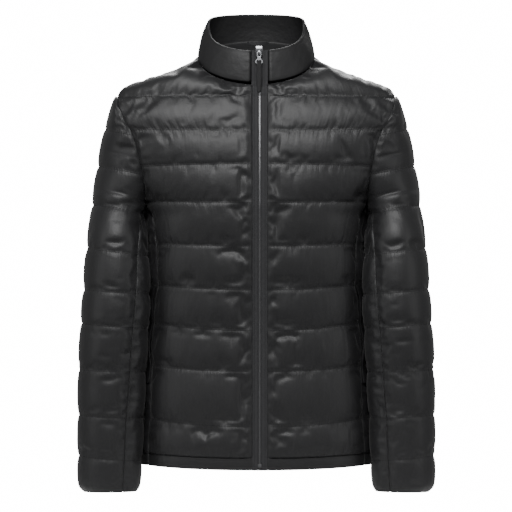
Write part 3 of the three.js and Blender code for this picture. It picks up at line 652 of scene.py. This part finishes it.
def draw_front(side, seed):
    zip_x = zip_edge(side)
    start_turn = math.asin(zip_x / NECK_HALF)

    def place(k, t, share):
        if k >= 0:
            return front_place(BODY_CHANNELS[k], t, share, zip_x)
        low = front_place(FIRST_QUILT, 0, share, zip_x)
        return yoke_place(low, upper_edge(share, start_turn, -1), t)

    def draw(bm, cell):
        rows = stations(BODY_CHANNELS, cell, YOKE_LENGTH)
        add_patch(bm, round(FRONT_SPAN / cell), rows, FRONT_SPAN, place, BODY_CHANNELS, True, True, seed)
    return draw


def back_row(k, t, share):
    if k >= 0:
        return back_place(BODY_CHANNELS[k], t, share)
    return yoke_place(back_place(FIRST_QUILT, 0, share), upper_edge(share, 0, 1), t)


def under_row(k, t, share):
    return underarm_place(BODY_CHANNELS[k], t, share)


def side_height(channels, row):
    k, t = row
    return 0 if k < 0 else lerp(channels[k][1], channels[k][3], t)


def draw_back(bm, cell):
    rows = stations(BODY_CHANNELS, cell, YOKE_LENGTH)
    under = [row for row in rows if side_height(BODY_CHANNELS, row) <= SIDE_SEAM_TOP + 0.01]
    for side, _ in SIDES:
        add_patch(bm, round(BACK_SPAN / cell), rows, BACK_SPAN,
                  lambda k, t, share: to_side(back_row(k, t, share), side),
                  BODY_CHANNELS, False, False, 31.7 + 5 * side)
        add_patch(bm, round(UNDERARM_SPAN / cell), under, UNDERARM_SPAN,
                  lambda k, t, share: to_side(under_row(k, t, share), side),
                  BODY_CHANNELS, False, True, 47.1 + 5 * side)
    bmesh.ops.remove_doubles(bm, verts=bm.verts[:], dist=0.05)
    bmesh.ops.recalc_face_normals(bm, faces=bm.faces[:])


def sleeve_heights(k, t):
    channel = SLEEVE_CHANNELS[k]
    return lerp(channel[0], channel[2], t), lerp(channel[1], channel[3], t)


def round_cuff(bm):
    """The sleeve's end is rounded off towards its turned edge."""
    rise_layer = bm.verts.layers.float["rise"]
    for vert in bm.verts:
        up = clamp((vert.co.z - CUFF_FOOT) / CUFF_ROUND, 0, 1)
        vert[rise_layer] *= lerp(0.05, 1, math.sin(up * math.pi / 2))


def draw_sleeve_top(seed):
    def draw(bm, cell):
        add_patch(bm, 2 * round(SLEEVE_TOP_SPAN / cell / 2), stations(SLEEVE_CHANNELS, cell), SLEEVE_TOP_SPAN,
                  lambda k, t, share: sleeve_top_place(*sleeve_heights(k, t), share),
                  SLEEVE_CHANNELS, True, True, seed)
        round_cuff(bm)
    return draw


def draw_sleeve_under(seed):
    rim_front = armhole_y(SIDE_SEAM_TOP, -1) + 3 * SEAM_HALF
    rim_back = armhole_y(SIDE_SEAM_TOP, 1) - 3 * SEAM_HALF

    def place(k, t, share):
        if k < 0:
            return armhole_foot(lerp(rim_front, rim_back, share)) + Vector((ARMHOLE_GAP, 0, 0))
        return sleeve_under_place(*sleeve_heights(k, t), share)

    def draw(bm, cell):
        rows = [row for row in stations(SLEEVE_CHANNELS, cell)
                if side_height(SLEEVE_CHANNELS, row) < SIDE_SEAM_TOP - 8]
        add_patch(bm, round(SLEEVE_UNDER_SPAN / cell), [(-1, 0.0)] + rows, SLEEVE_UNDER_SPAN, place,
                  SLEEVE_CHANNELS, True, True, seed)
        round_cuff(bm)
    return draw


def thin_hem(bm):
    """A hem has far less padding than a channel."""
    rise_layer = bm.verts.layers.float["rise"]
    for vert in bm.verts:
        vert[rise_layer] *= HEM_SHARE


def draw_front_hem(side, seed):
    def draw(bm, cell):
        add_patch(bm, round(FRONT_SPAN / cell), stations([HEM_CHANNEL], min(cell, 5)), FRONT_SPAN,
                  lambda k, t, share: front_place(HEM_CHANNEL, t, share, zip_edge(side)),
                  [HEM_CHANNEL], True, True, seed)
        thin_hem(bm)
    return draw


def draw_back_hem(bm, cell):
    rows = stations([HEM_CHANNEL], min(cell, 5))
    for side, _ in SIDES:
        add_patch(bm, round(BACK_SPAN / cell), rows, BACK_SPAN,
                  lambda k, t, share: to_side(back_place(HEM_CHANNEL, t, share), side),
                  [HEM_CHANNEL], False, False, 131.7 + 5 * side)
        add_patch(bm, round(UNDERARM_SPAN / cell), rows, UNDERARM_SPAN,
                  lambda k, t, share: to_side(underarm_place(HEM_CHANNEL, t, share), side),
                  [HEM_CHANNEL], False, True, 147.1 + 5 * side)
    bmesh.ops.remove_doubles(bm, verts=bm.verts[:], dist=0.05)
    bmesh.ops.recalc_face_normals(bm, faces=bm.faces[:])
    thin_hem(bm)


NECK_COLUMNS = 24
COLLAR_OUT_ROWS = 18
COLLAR_RIM_ROWS = 6
COLLAR_SEED = 5.3
COLLAR_ROUND = 520
RIM_TOP = 0.965
RIM_DIP = 0.8


def collar_line(quarter, t, half):
    """Turn round the neck: four quarters from the +X zip edge, by the back, to the -X zip edge."""
    stops = (math.asin(zip_edge(1) / half), math.pi / 2, math.pi, 1.5 * math.pi,
             2 * math.pi - math.asin(zip_edge(-1) / half))
    return lerp(stops[quarter], stops[quarter + 1], t)


def collar_inside(share, up):
    quarter = min(int(share * 4), 3)
    t = share * 4 - quarter
    low = neck_point(collar_line(quarter, t, NECK_HALF))
    low.z += COLLAR_STAND
    high = rim_point(collar_line(quarter, t, RIM_HALF))
    bend = Vector((lerp(low.x, high.x, 0.4) * 1.03, lerp(low.y, high.y, 0.4) * 1.02,
                   lerp(low.z, high.z, 0.55)))
    return low * (1 - up) ** 2 + bend * 2 * up * (1 - up) + high * up ** 2


def collar_folds(share, up):
    """Soft folds that lean, and short puckers beside the zip and over the neck seam."""
    round_length = share * COLLAR_ROUND
    lean = noise.noise(Vector((round_length / 42 + up * 1.3, up * 0.9, COLLAR_SEED)))
    fine = noise.noise(Vector((round_length / 15 - up * 2.2, up * 1.6, COLLAR_SEED + 9)))
    edge = min(share, 1 - share) * COLLAR_ROUND
    beside = noise.noise(Vector((COLLAR_SEED, up * 9, edge / 30))) * math.exp(-edge / 12)
    foot = noise.noise(Vector((round_length / 7, COLLAR_SEED, up))) * math.exp(-up * 8)
    middle = math.sin(math.pi * clamp(up, 0, 1)) ** 0.5
    return (1.5 * lean + 0.7 * fine) * middle + 0.9 * beside + 0.7 * foot


def collar_profile(row):
    """(how far up, how far out from the lining, how much of the folds) for a row over the collar."""
    if row <= COLLAR_OUT_ROWS:
        up = row / COLLAR_OUT_ROWS * RIM_TOP
        thick = COLLAR_WALL * (0.55 + 0.45 * math.sin(math.pi / 2 * clamp(up * 6, 0, 1)))
        dip = RIM_DIP * math.exp(-((up - 0.9) / 0.022) ** 2)
        return up, thick - dip, 1.0
    if row < COLLAR_OUT_ROWS + COLLAR_RIM_ROWS:
        turn = (row - COLLAR_OUT_ROWS) / COLLAR_RIM_ROWS * math.pi
        return RIM_TOP + (1 - RIM_TOP) * math.sin(turn), COLLAR_WALL * (0.5 + 0.5 * math.cos(turn)), 0.6
    up = (1 - (row - COLLAR_OUT_ROWS - COLLAR_RIM_ROWS) / COLLAR_OUT_ROWS) * RIM_TOP
    return up, 0.0, 0.8


def make_collar():
    bm = new_cloth()
    columns = 4 * NECK_COLUMNS
    rows = 2 * COLLAR_OUT_ROWS + COLLAR_RIM_ROWS
    made = bmesh.ops.create_grid(bm, x_segments=columns, y_segments=rows, size=1)
    u_layer = bm.verts.layers.float["u"]
    v_layer = bm.verts.layers.float["v"]
    seam_layer = bm.verts.layers.float["seam"]
    for vert in made["verts"]:
        share = (vert.co.x + 1) / 2
        row = round((vert.co.y + 1) / 2 * rows)
        up, out, folded = collar_profile(row)
        place = collar_inside(share, up)
        level = section_out(place.x, place.y, NECK_HALF, NECK_FRONT, 2)
        fold = collar_folds(share, up) * folded * clamp((out + 2) / 4, 0.4, 1)
        vert.co = place + level * (out + fold)
        vert[u_layer] = share * COLLAR_ROUND
        vert[v_layer] = row * 5
        vert[seam_layer] = 1.0 if abs(up - 0.9) < 0.02 and row <= COLLAR_OUT_ROWS else 0.0
    bmesh.ops.recalc_face_normals(bm, faces=bm.faces[:])
    close_strip_ends(bm)
    obj = cloth_object(bm, "collar_stand")
    bm.free()
    smooth_cloth(obj)
    obj.data.materials.append(PLAIN)
    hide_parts("collar")
    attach(obj, "jacket")


def close_strip_ends(bm):
    """Closes the collar's ends at the zip and its foot, where the wall's two sides meet."""
    rim = [e for e in bm.edges if e.is_boundary]
    bmesh.ops.holes_fill(bm, edges=rim, sides=0)
    bmesh.ops.recalc_face_normals(bm, faces=bm.faces[:])


class Number:
    """A number in a material, so that sums are written as usual."""

    def __init__(self, graph, socket):
        self.graph = graph
        self.socket = socket

    def sum(self, operation, *values):
        node = self.graph.tree.nodes.new("ShaderNodeMath")
        node.operation = operation
        for socket, value in zip(node.inputs, values):
            self.graph.feed(socket, value)
        return Number(self.graph, node.outputs[0])

    def __add__(self, other):
        return self.sum("ADD", self, other)

    def __radd__(self, other):
        return self.sum("ADD", other, self)

    def __sub__(self, other):
        return self.sum("SUBTRACT", self, other)

    def __rsub__(self, other):
        return self.sum("SUBTRACT", other, self)

    def __mul__(self, other):
        return self.sum("MULTIPLY", self, other)

    def __rmul__(self, other):
        return self.sum("MULTIPLY", other, self)

    def __pow__(self, other):
        return self.sum("POWER", self, other)


class Graph:
    """One material's nodes, each made from its kind, its settings and its inputs."""

    def __init__(self, name, color, roughness, metallic=0.0):
        self.material = bpy.data.materials.new(name)
        self.material.use_nodes = True
        self.tree = self.material.node_tree
        self.shader = self.tree.nodes["Principled BSDF"]
        self.set("Base Color", (*color, 1))
        self.set("Roughness", roughness)
        self.set("Metallic", metallic)

    def feed(self, socket, value):
        if isinstance(value, Number):
            self.tree.links.new(value.socket, socket)
        elif isinstance(value, bpy.types.NodeSocket):
            self.tree.links.new(value, socket)
        else:
            socket.default_value = value

    def set(self, name, value):
        self.feed(self.shader.inputs[name], value)

    def node(self, kind, settings, **values):
        node = self.tree.nodes.new(kind)
        for key, value in settings.items():
            setattr(node, key, value)
        for key, value in values.items():
            self.feed(node.inputs[key], value)
        return node

    def noise(self, place, scale, detail=2.0, roughness=0.5):
        node = self.node("ShaderNodeTexNoise", {}, Vector=place, Scale=scale, Detail=detail,
                         Roughness=roughness)
        return Number(self, node.outputs["Fac"])

    def stretched(self, place, x, y, z=1.0):
        node = self.node("ShaderNodeVectorMath", {"operation": "MULTIPLY"})
        self.feed(node.inputs[0], place)
        node.inputs[1].default_value = (x, y, z)
        return node.outputs["Vector"]

    def relief(self, height, distance):
        bump = self.node("ShaderNodeBump", {}, Height=height, Distance=distance, Strength=1.0)
        self.set("Normal", bump.outputs["Normal"])

    def object_place(self):
        return self.node("ShaderNodeTexCoord", {}).outputs["Object"]

    def cloth_place(self):
        return self.node("ShaderNodeUVMap", {"uv_map": "cloth"}).outputs["UV"]

    def swelling(self):
        attribute = self.node("ShaderNodeAttribute", {"attribute_name": "swell"})
        return Number(self, attribute.outputs["Fac"])


def taffeta():
    """Black nylon with a satin gloss; its finest puckers stand across the quilting seams."""
    graph = Graph("black taffeta", (0.0105, 0.0105, 0.0114), 0.5)
    cloth = graph.cloth_place()
    place = graph.object_place()
    near = (1.0 - graph.swelling()) ** 1.6
    puckers = graph.noise(graph.stretched(cloth, 260, 42), 1.0, 3.0, 0.55) * near
    folds = graph.noise(graph.stretched(cloth, 90, 9), 1.0, 2.0, 0.5)
    wrinkles = graph.noise(place, 46, 3.0, 0.6)
    crinkle = graph.noise(place, 230, 2.0, 0.5)
    height = puckers * 1.5 + folds * 0.45 + wrinkles * 0.4 + crinkle * 0.08
    graph.relief(height, 0.0011)
    graph.set("Roughness", 0.46 + 0.1 * graph.noise(place, 14, 2.0))
    graph.shader.inputs["Sheen Weight"].default_value = 0.06
    graph.shader.inputs["Sheen Roughness"].default_value = 0.4
    return graph.material


def plain_taffeta():
    """The same nylon where there is no quilting: the collar, the welts and the hem."""
    graph = Graph("plain taffeta", (0.007, 0.007, 0.0077), 0.5)
    place = graph.object_place()
    graph.relief(graph.noise(place, 60, 3.0, 0.6) + graph.noise(place, 190, 2.0, 0.5) * 0.15, 0.0010)
    graph.set("Roughness", 0.53 + 0.1 * graph.noise(place, 14, 2.0))
    return graph.material


def matt_lining():
    graph = Graph("lining", (0.012, 0.012, 0.014), 0.6)
    place = graph.object_place()
    graph.relief(graph.noise(place, 70, 3.0, 0.6), 0.0008)
    return graph.material


def woven_tape(name, color):
    graph = Graph(name, color, 0.72)
    place = graph.object_place()
    ribs = graph.node("ShaderNodeTexWave", {"wave_type": "BANDS", "bands_direction": "DIAGONAL"},
                      Vector=place, Scale=420, Distortion=0.4)
    graph.relief(Number(graph, ribs.outputs["Fac"]), 0.0002)
    return graph.material


def plated_metal(name, color, roughness):
    graph = Graph(name, color, roughness, 1.0)
    place = graph.object_place()
    graph.set("Roughness", roughness - 0.04 + 0.1 * graph.noise(place, 220, 3.0))
    return graph.material


SHELL = taffeta()
PLAIN = plain_taffeta()
LINING = matt_lining()
TAPE = woven_tape("zip tape", (0.022, 0.022, 0.024))
CORD = woven_tape("cord", (0.008, 0.008, 0.009))
METAL = plated_metal("zip metal", (0.36, 0.365, 0.38), 0.28)
CHAIN = plated_metal("zip chain", (0.17, 0.17, 0.175), 0.45)
THREAD = Graph("black thread", (0.012, 0.012, 0.013), 0.85).material


def finish_piece(obj, material, nodes=(), body="jacket"):
    obj.data.materials.append(material)
    if nodes:
        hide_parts(*nodes)
    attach(obj, body)
    return obj


def mesh_object(bm, name):
    bmesh.ops.scale(bm, vec=(MM, MM, MM), verts=bm.verts[:])
    mesh = bpy.data.meshes.new(name)
    bm.to_mesh(mesh)
    bm.free()
    obj = bpy.data.objects.new(name, mesh)
    bpy.context.scene.collection.objects.link(obj)
    return obj


def turned_box(bm, place, along, out, size):
    """A small box at a place: its length lies along, its thickness out."""
    side = along.cross(out).normalized()
    up = side.cross(along).normalized()
    turn = Matrix((along.normalized(), side, up)).transposed().to_4x4()
    matrix = Matrix.Translation(place) @ turn @ Matrix.Diagonal((*size, 1))
    bmesh.ops.create_cube(bm, size=1, matrix=matrix)


STITCH = (1.9, 0.5, 0.45)


def sew(obj, name):
    """Stitches along the quilting seams of a panel, two to each cell."""
    mesh = obj.data
    seam = [d.value > 0.5 for d in mesh.attributes["seam"].data]
    bm = bmesh.new()
    for edge in mesh.edges:
        a, b = edge.vertices
        if not (seam[a] and seam[b]):
            continue
        start = mesh.vertices[a].co / MM
        end = mesh.vertices[b].co / MM
        out = mesh.vertices[a].normal + mesh.vertices[b].normal
        if (end - start).length < 1 or out.length < 0.1:
            continue
        for share in (0.25, 0.75):
            turned_box(bm, start.lerp(end, share) + out.normalized() * 0.05, end - start, out, STITCH)
    return finish_piece(mesh_object(bm, name), THREAD)


def front_edge():
    """Depth and height of the zip's line, from the hem up over the neck seam to the collar's rim."""
    heights = [HEM["middle"] + 5 * i for i in range(124)]
    places = [body_point(z, 0, -1) for z in heights if z < BODY_QUILTS["middle"][0] - 1]
    first = body_point(BODY_QUILTS["middle"][0], 0, -1)
    places += [yoke_place(first, neck_point(0), t / 6) for t in range(7)]
    places += [collar_inside(0, j / 14) for j in range(1, 15)]
    return [Vector((0, place.y, place.z)) for place in places]


def edge_strip(name, left, right, lift, thick, columns):
    """A strip up the zip's line, between two distances from the middle plane."""
    places = front_edge()
    bm = bmesh.new()
    made = bmesh.ops.create_grid(bm, x_segments=columns, y_segments=len(places) - 1, size=1)
    for vert in made["verts"]:
        line = places[round((vert.co.y + 1) / 2 * (len(places) - 1))]
        vert.co = Vector((lerp(left, right, (vert.co.x + 1) / 2), line.y - lift, line.z))
    turn_faces_out(bm, lambda place: Vector((place.x, 0, place.z)))
    made = bmesh.ops.extrude_face_region(bm, geom=bm.faces[:])["geom"]
    bmesh.ops.translate(bm, vec=(0, -thick, 0), verts=[g for g in made if isinstance(g, bmesh.types.BMVert)])
    bmesh.ops.recalc_face_normals(bm, faces=bm.faces[:])
    return mesh_object(bm, name)


def along_edge(pitch, top):
    """Places at an even pitch up the zip's line, each with the line's direction."""
    places = [place for place in front_edge() if place.z <= top]
    found = []
    spare = 0.0
    for low, high in zip(places, places[1:]):
        length = (high - low).length
        while spare < length:
            found.append((low.lerp(high, spare / length), (high - low).normalized()))
            spare += pitch
        spare -= length
    return found


TAPE_INNER = 0.2
TAPE_WIDE = 13.2
TAPE_LIFT = 0.2
TAPE_THICK = 1.4
CHAIN_TOP = 4
CHAIN_PITCH = 1.5
TOOTH = (0.85, 1.7, 1.5)
TAPE_STITCH_LINES = (3.4, 8.6)


def make_zip():
    for side, word in SIDES:
        inner = ZIP_X + side * TAPE_INNER
        outer = ZIP_X + side * (TAPE_INNER + TAPE_WIDE)
        tape = edge_strip(f"zip_cloth_{word}", min(inner, outer), max(inner, outer), TAPE_LIFT, TAPE_THICK, 4)
        finish_piece(tape, TAPE, [f"zip_tape_{word}"])
    stitches = bmesh.new()
    for place, along in along_edge(3.4, 14):
        for side, _ in SIDES:
            for line in TAPE_STITCH_LINES:
                spot = Vector((ZIP_X + side * line, place.y - TAPE_LIFT - TAPE_THICK - 0.1, place.z))
                turned_box(stitches, spot, along, Vector((0, -1, 0)), (2.2, 0.6, 0.5))
    finish_piece(mesh_object(stitches, "tape_stitches"), THREAD)
    teeth = bmesh.new()
    for number, (place, along) in enumerate(along_edge(CHAIN_PITCH / 2, CHAIN_TOP)):
        way = -1 if number % 2 else 1
        spot = Vector((ZIP_X + way * 0.42, place.y - 1.55, place.z))
        turned_box(teeth, spot, along, Vector((0, -1, 0)), TOOTH)
    finish_piece(mesh_object(teeth, "zip_chain"), CHAIN, ["zip_coil"])
    stop = bmesh.new()
    low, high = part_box("zip_stop")
    matrix = Matrix.Translation((low + high) / 2 / MM) @ Matrix.Diagonal((*((high - low) / MM), 1))
    bmesh.ops.create_cube(stop, size=1, matrix=matrix)
    bmesh.ops.bevel(stop, geom=stop.edges[:], offset=0.4, segments=2, profile=0.5, affect="EDGES",
                    material=-1)
    finish_piece(mesh_object(stop, "bottom_stop"), CHAIN, ["zip_stop"])


PULL_AXIS = Vector((4.6, -74.5, 9.5))
PULL_LEAN = math.radians(7.5)
ACROSS_X = Matrix(((0, 0, 1, 0), (1, 0, 0, 0), (0, 1, 0, 0), (0, 0, 0, 1)))
THROUGH_Y = Matrix.Rotation(math.pi / 2, 4, "X")


def plate(name, outlines, thick, rounding, matrix):
    """A flat plate cut to outlines (the first is its rim, the others are holes), its edges rounded."""
    curve = bpy.data.curves.new(name, "CURVE")
    curve.dimensions = "2D"
    curve.fill_mode = "BOTH"
    curve.extrude = thick / 2 - rounding
    curve.bevel_depth = rounding
    curve.bevel_resolution = 2
    curve.offset = -rounding
    for outline in outlines:
        line = curve.splines.new("POLY")
        line.points.add(len(outline) - 1)
        line.use_cyclic_u = True
        for point, (x, y) in zip(line.points, outline):
            point.co = (x, y, 0, 1)
    drawn = bpy.data.objects.new(name, curve)
    bpy.context.scene.collection.objects.link(drawn)
    mesh = bpy.data.meshes.new_from_object(drawn.evaluated_get(bpy.context.evaluated_depsgraph_get()))
    bpy.data.objects.remove(drawn)
    bm = bmesh.new()
    bm.from_mesh(mesh)
    bpy.data.meshes.remove(mesh)
    bmesh.ops.remove_doubles(bm, verts=bm.verts[:], dist=1e-4)
    bmesh.ops.transform(bm, matrix=matrix, verts=bm.verts[:])
    bmesh.ops.recalc_face_normals(bm, faces=bm.faces[:])
    return mesh_object(bm, name)


def mirrored_outline(half):
    """An outline from its right half, given from the top down."""
    return list(half) + [(-x, y) for x, y in reversed(half)]


def make_slider():
    at_axis = Matrix.Translation(PULL_AXIS)
    clip = ((2.1, -6), (4.1, -6), (4.1, 7), (11, 7), (11, -2), (13, -2), (13, 10.5), (12, 11.5), (3.1, 11.5),
            (2.1, 10.5))
    body = plate("slider_body", [clip], 11, 0.5, at_axis @ ACROSS_X)
    finish_piece(body, METAL, ["zip_slider"])
    arch = ((2.6, 3.9), (-2.1, 3.9), (-3.4, 2.6), (-3.4, -2.6), (-2.1, -3.9), (2.6, -3.9), (2.6, -2.6),
            (-2.1, -2.6), (-2.1, 2.6), (2.6, 2.6))
    finish_piece(plate("slider_bridge", [arch], 3, 0.3, at_axis @ ACROSS_X), METAL)


def make_pull():
    leaning = Matrix.Translation(PULL_AXIS) @ Matrix.Rotation(-PULL_LEAN, 4, "X")
    rim = mirrored_outline(((2.6, 0.9), (3.4, 0), (3.4, -6.2), (2.5, -9), (3.6, -11.3), (6, -13.6),
                            (6.2, -16.4), (5.2, -18.3), (3, -19.3)))
    slot = ((-2.1, -0.8), (-2.1, -6.4), (2.1, -6.4), (2.1, -0.8))
    eye = ((-3.2, -13), (-4.8, -16), (-3.8, -17), (3.8, -17), (4.8, -16), (3.2, -13))
    finish_piece(plate("pull_plate", [rim, slot, eye], 1.4, 0.3, leaning @ THROUGH_Y), METAL,
                 ["pull_tab"], "zip_pull")
    tab = mirrored_outline(((3.2, -14.4), (4.2, -20), (4.6, -30), (4.2, -48), (3.1, -62.5), (2.2, -66.6)))
    soft_tab = plate("cord_tab", [tab], 3.3, 1.1, leaning @ THROUGH_Y)
    finish_piece(soft_tab, CORD, ["pull_tape"], "zip_pull")
    stitches = bmesh.new()
    for z in range(-24, -60, -3):
        for side, _ in SIDES:
            turned_box(stitches, Vector((side * 2.5, -1.7, z)), Vector((0, 0, 1)), Vector((0, -1, 0)),
                       (2, 0.5, 0.4))
    bmesh.ops.transform(stitches, matrix=leaning, verts=stitches.verts[:])
    finish_piece(mesh_object(stitches, "cord_tab_stitches"), THREAD, (), "zip_pull")


LOOP_BOTTOM = 28
LOOP_TOP = 35


def make_loop():
    """The loop for hanging up, sewn inside the back of the neck."""
    bm = bmesh.new()
    made = bmesh.ops.create_grid(bm, x_segments=24, y_segments=3, size=1)
    for vert in made["verts"]:
        across = vert.co.x
        depth = 64.5 - 7 * (1 - across * across)
        vert.co = Vector((3 + 18 * across, depth, lerp(LOOP_BOTTOM, LOOP_TOP, (vert.co.y + 1) / 2)))
    turn_faces_out(bm, lambda place: Vector((3, 200, place.z)))
    made = bmesh.ops.extrude_face_region(bm, geom=bm.faces[:])["geom"]
    bmesh.ops.translate(bm, vec=(0, -1.1, 0), verts=[g for g in made if isinstance(g, bmesh.types.BMVert)])
    bmesh.ops.recalc_face_normals(bm, faces=bm.faces[:])
    finish_piece(mesh_object(bm, "hanger_loop"), TAPE, ["hanging_loop"])


WELT_WIDE = 13
WELT_TOP = -375
WELT_FOOT = -538
WELT_RISE = 3.5


def make_welt(side, word):
    rows = [row for row in stations(BODY_CHANNELS, CELL)
            if WELT_FOOT <= side_height(BODY_CHANNELS, row) <= WELT_TOP]
    bm = bmesh.new()
    made = bmesh.ops.create_grid(bm, x_segments=4, y_segments=len(rows) - 1, size=1)
    for vert in made["verts"]:
        k, t = rows[round((vert.co.y + 1) / 2 * (len(rows) - 1))]
        distance = lerp(0.5, WELT_WIDE, (vert.co.x + 1) / 2)
        place = underarm_place(BODY_CHANNELS[k], t, 1 - distance / UNDERARM_SPAN)
        out = body_out(place, -1 if place.y < 8 else 1)
        vert.co = place + out * (WALL + BODY_PUFF * swell(t) * edge_factor(distance) + WELT_RISE)
    face_out(bm, body_middle, side)
    obj = mesh_object(bm, f"welt_{word}")
    wall = obj.modifiers.new("Wall", "SOLIDIFY")
    wall.thickness = 1.5 * MM
    wall.offset = -1
    smooth_cloth(obj)
    for face in obj.data.polygons:
        face.use_smooth = True
    finish_piece(obj, PLAIN, [f"pocket_welt_{word}"])


def add_light(name, place, aim, size, power, spread=math.pi):
    data = bpy.data.lights.new(name, "AREA")
    data.spread = spread
    data.shape = "RECTANGLE"
    data.size = size[0]
    data.size_y = size[1]
    data.energy = power
    light = bpy.data.objects.new(name, data)
    light.location = place
    light.rotation_euler = (Vector(aim) - Vector(place)).to_track_quat("-Z", "Y").to_euler()
    bpy.context.scene.collection.objects.link(light)


def add_camera():
    data = bpy.data.cameras.new("camera")
    data.lens = 252
    data.sensor_width = 36
    camera = bpy.data.objects.new("camera", data)
    camera.location = (-0.0005, -6.0, -0.327)
    camera.rotation_euler = (math.pi / 2, 0, 0)
    bpy.context.scene.collection.objects.link(camera)
    bpy.context.scene.camera = camera


WORLD_FILL = 0.22
WORLD_WHITE = 16.0
FLOOR_RADIUS = 550
FLOOR_Z = -800


def make_world():
    """White where the camera looks past the jacket, and a soft fill on the jacket itself."""
    world = bpy.data.worlds.new("studio")
    bpy.context.scene.world = world
    world.use_nodes = True
    background = world.node_tree.nodes["Background"]
    background.inputs["Color"].default_value = (1, 1, 1, 1)
    path = world.node_tree.nodes.new("ShaderNodeLightPath")
    strength = world.node_tree.nodes.new("ShaderNodeMapRange")
    strength.inputs["To Min"].default_value = WORLD_FILL
    strength.inputs["To Max"].default_value = WORLD_WHITE
    world.node_tree.links.new(path.outputs["Is Camera Ray"], strength.inputs["Value"])
    world.node_tree.links.new(strength.outputs["Result"], background.inputs["Strength"])


def make_floor():
    bm = bmesh.new()
    bmesh.ops.create_circle(bm, cap_ends=True, segments=96, radius=FLOOR_RADIUS,
                            matrix=Matrix.Translation((0, 0, FLOOR_Z)))
    floor = mesh_object(bm, "floor")
    floor.data.materials.append(Graph("pale floor", (0.8, 0.8, 0.8), 0.6).material)


for side, word in SIDES:
    quilted(f"quilted_front_{word}", f"front_{word}", draw_front(side, 11.3 + side), body_middle,
            BODY_PUFF, side)
    quilted(f"hem_band_{word}", f"hem_{word}", draw_front_hem(side, 17.1 + side), body_middle,
            BODY_PUFF, side, blown=False)
    quilted(f"sleeve_outer_{word}", f"sleeve_top_{word}", draw_sleeve_top(61.9 + side), sleeve_middle,
            SLEEVE_PUFF, side)
    quilted(f"sleeve_inner_{word}", f"sleeve_under_{word}", draw_sleeve_under(83.3 + side), sleeve_middle,
            SLEEVE_PUFF, side)
quilted("quilted_back", "back", draw_back, body_middle, BODY_PUFF, 1)
quilted("hem_band_back", "hem_back", draw_back_hem, body_middle, BODY_PUFF, 1, blown=False)
make_collar()
for side, word in SIDES:
    make_welt(side, word)
make_zip()
make_slider()
make_pull()
make_loop()

make_world()
make_floor()
add_light("front softbox", (-0.3, -2.2, 1.9), (0, 0, -0.05), (2.4, 1.3), 27, 1.5)
add_light("left strip", (-2.4, -1.2, 0.2), (0, 0, -0.35), (0.6, 2.0), 11)
add_light("back softbox", (0.4, 2.6, 1.9), (0, 0, -0.1), (2.4, 1.3), 24, 1.5)
add_light("right strip", (2.4, -1.2, 0.2), (0, 0, -0.35), (0.6, 2.0), 11)
add_camera()
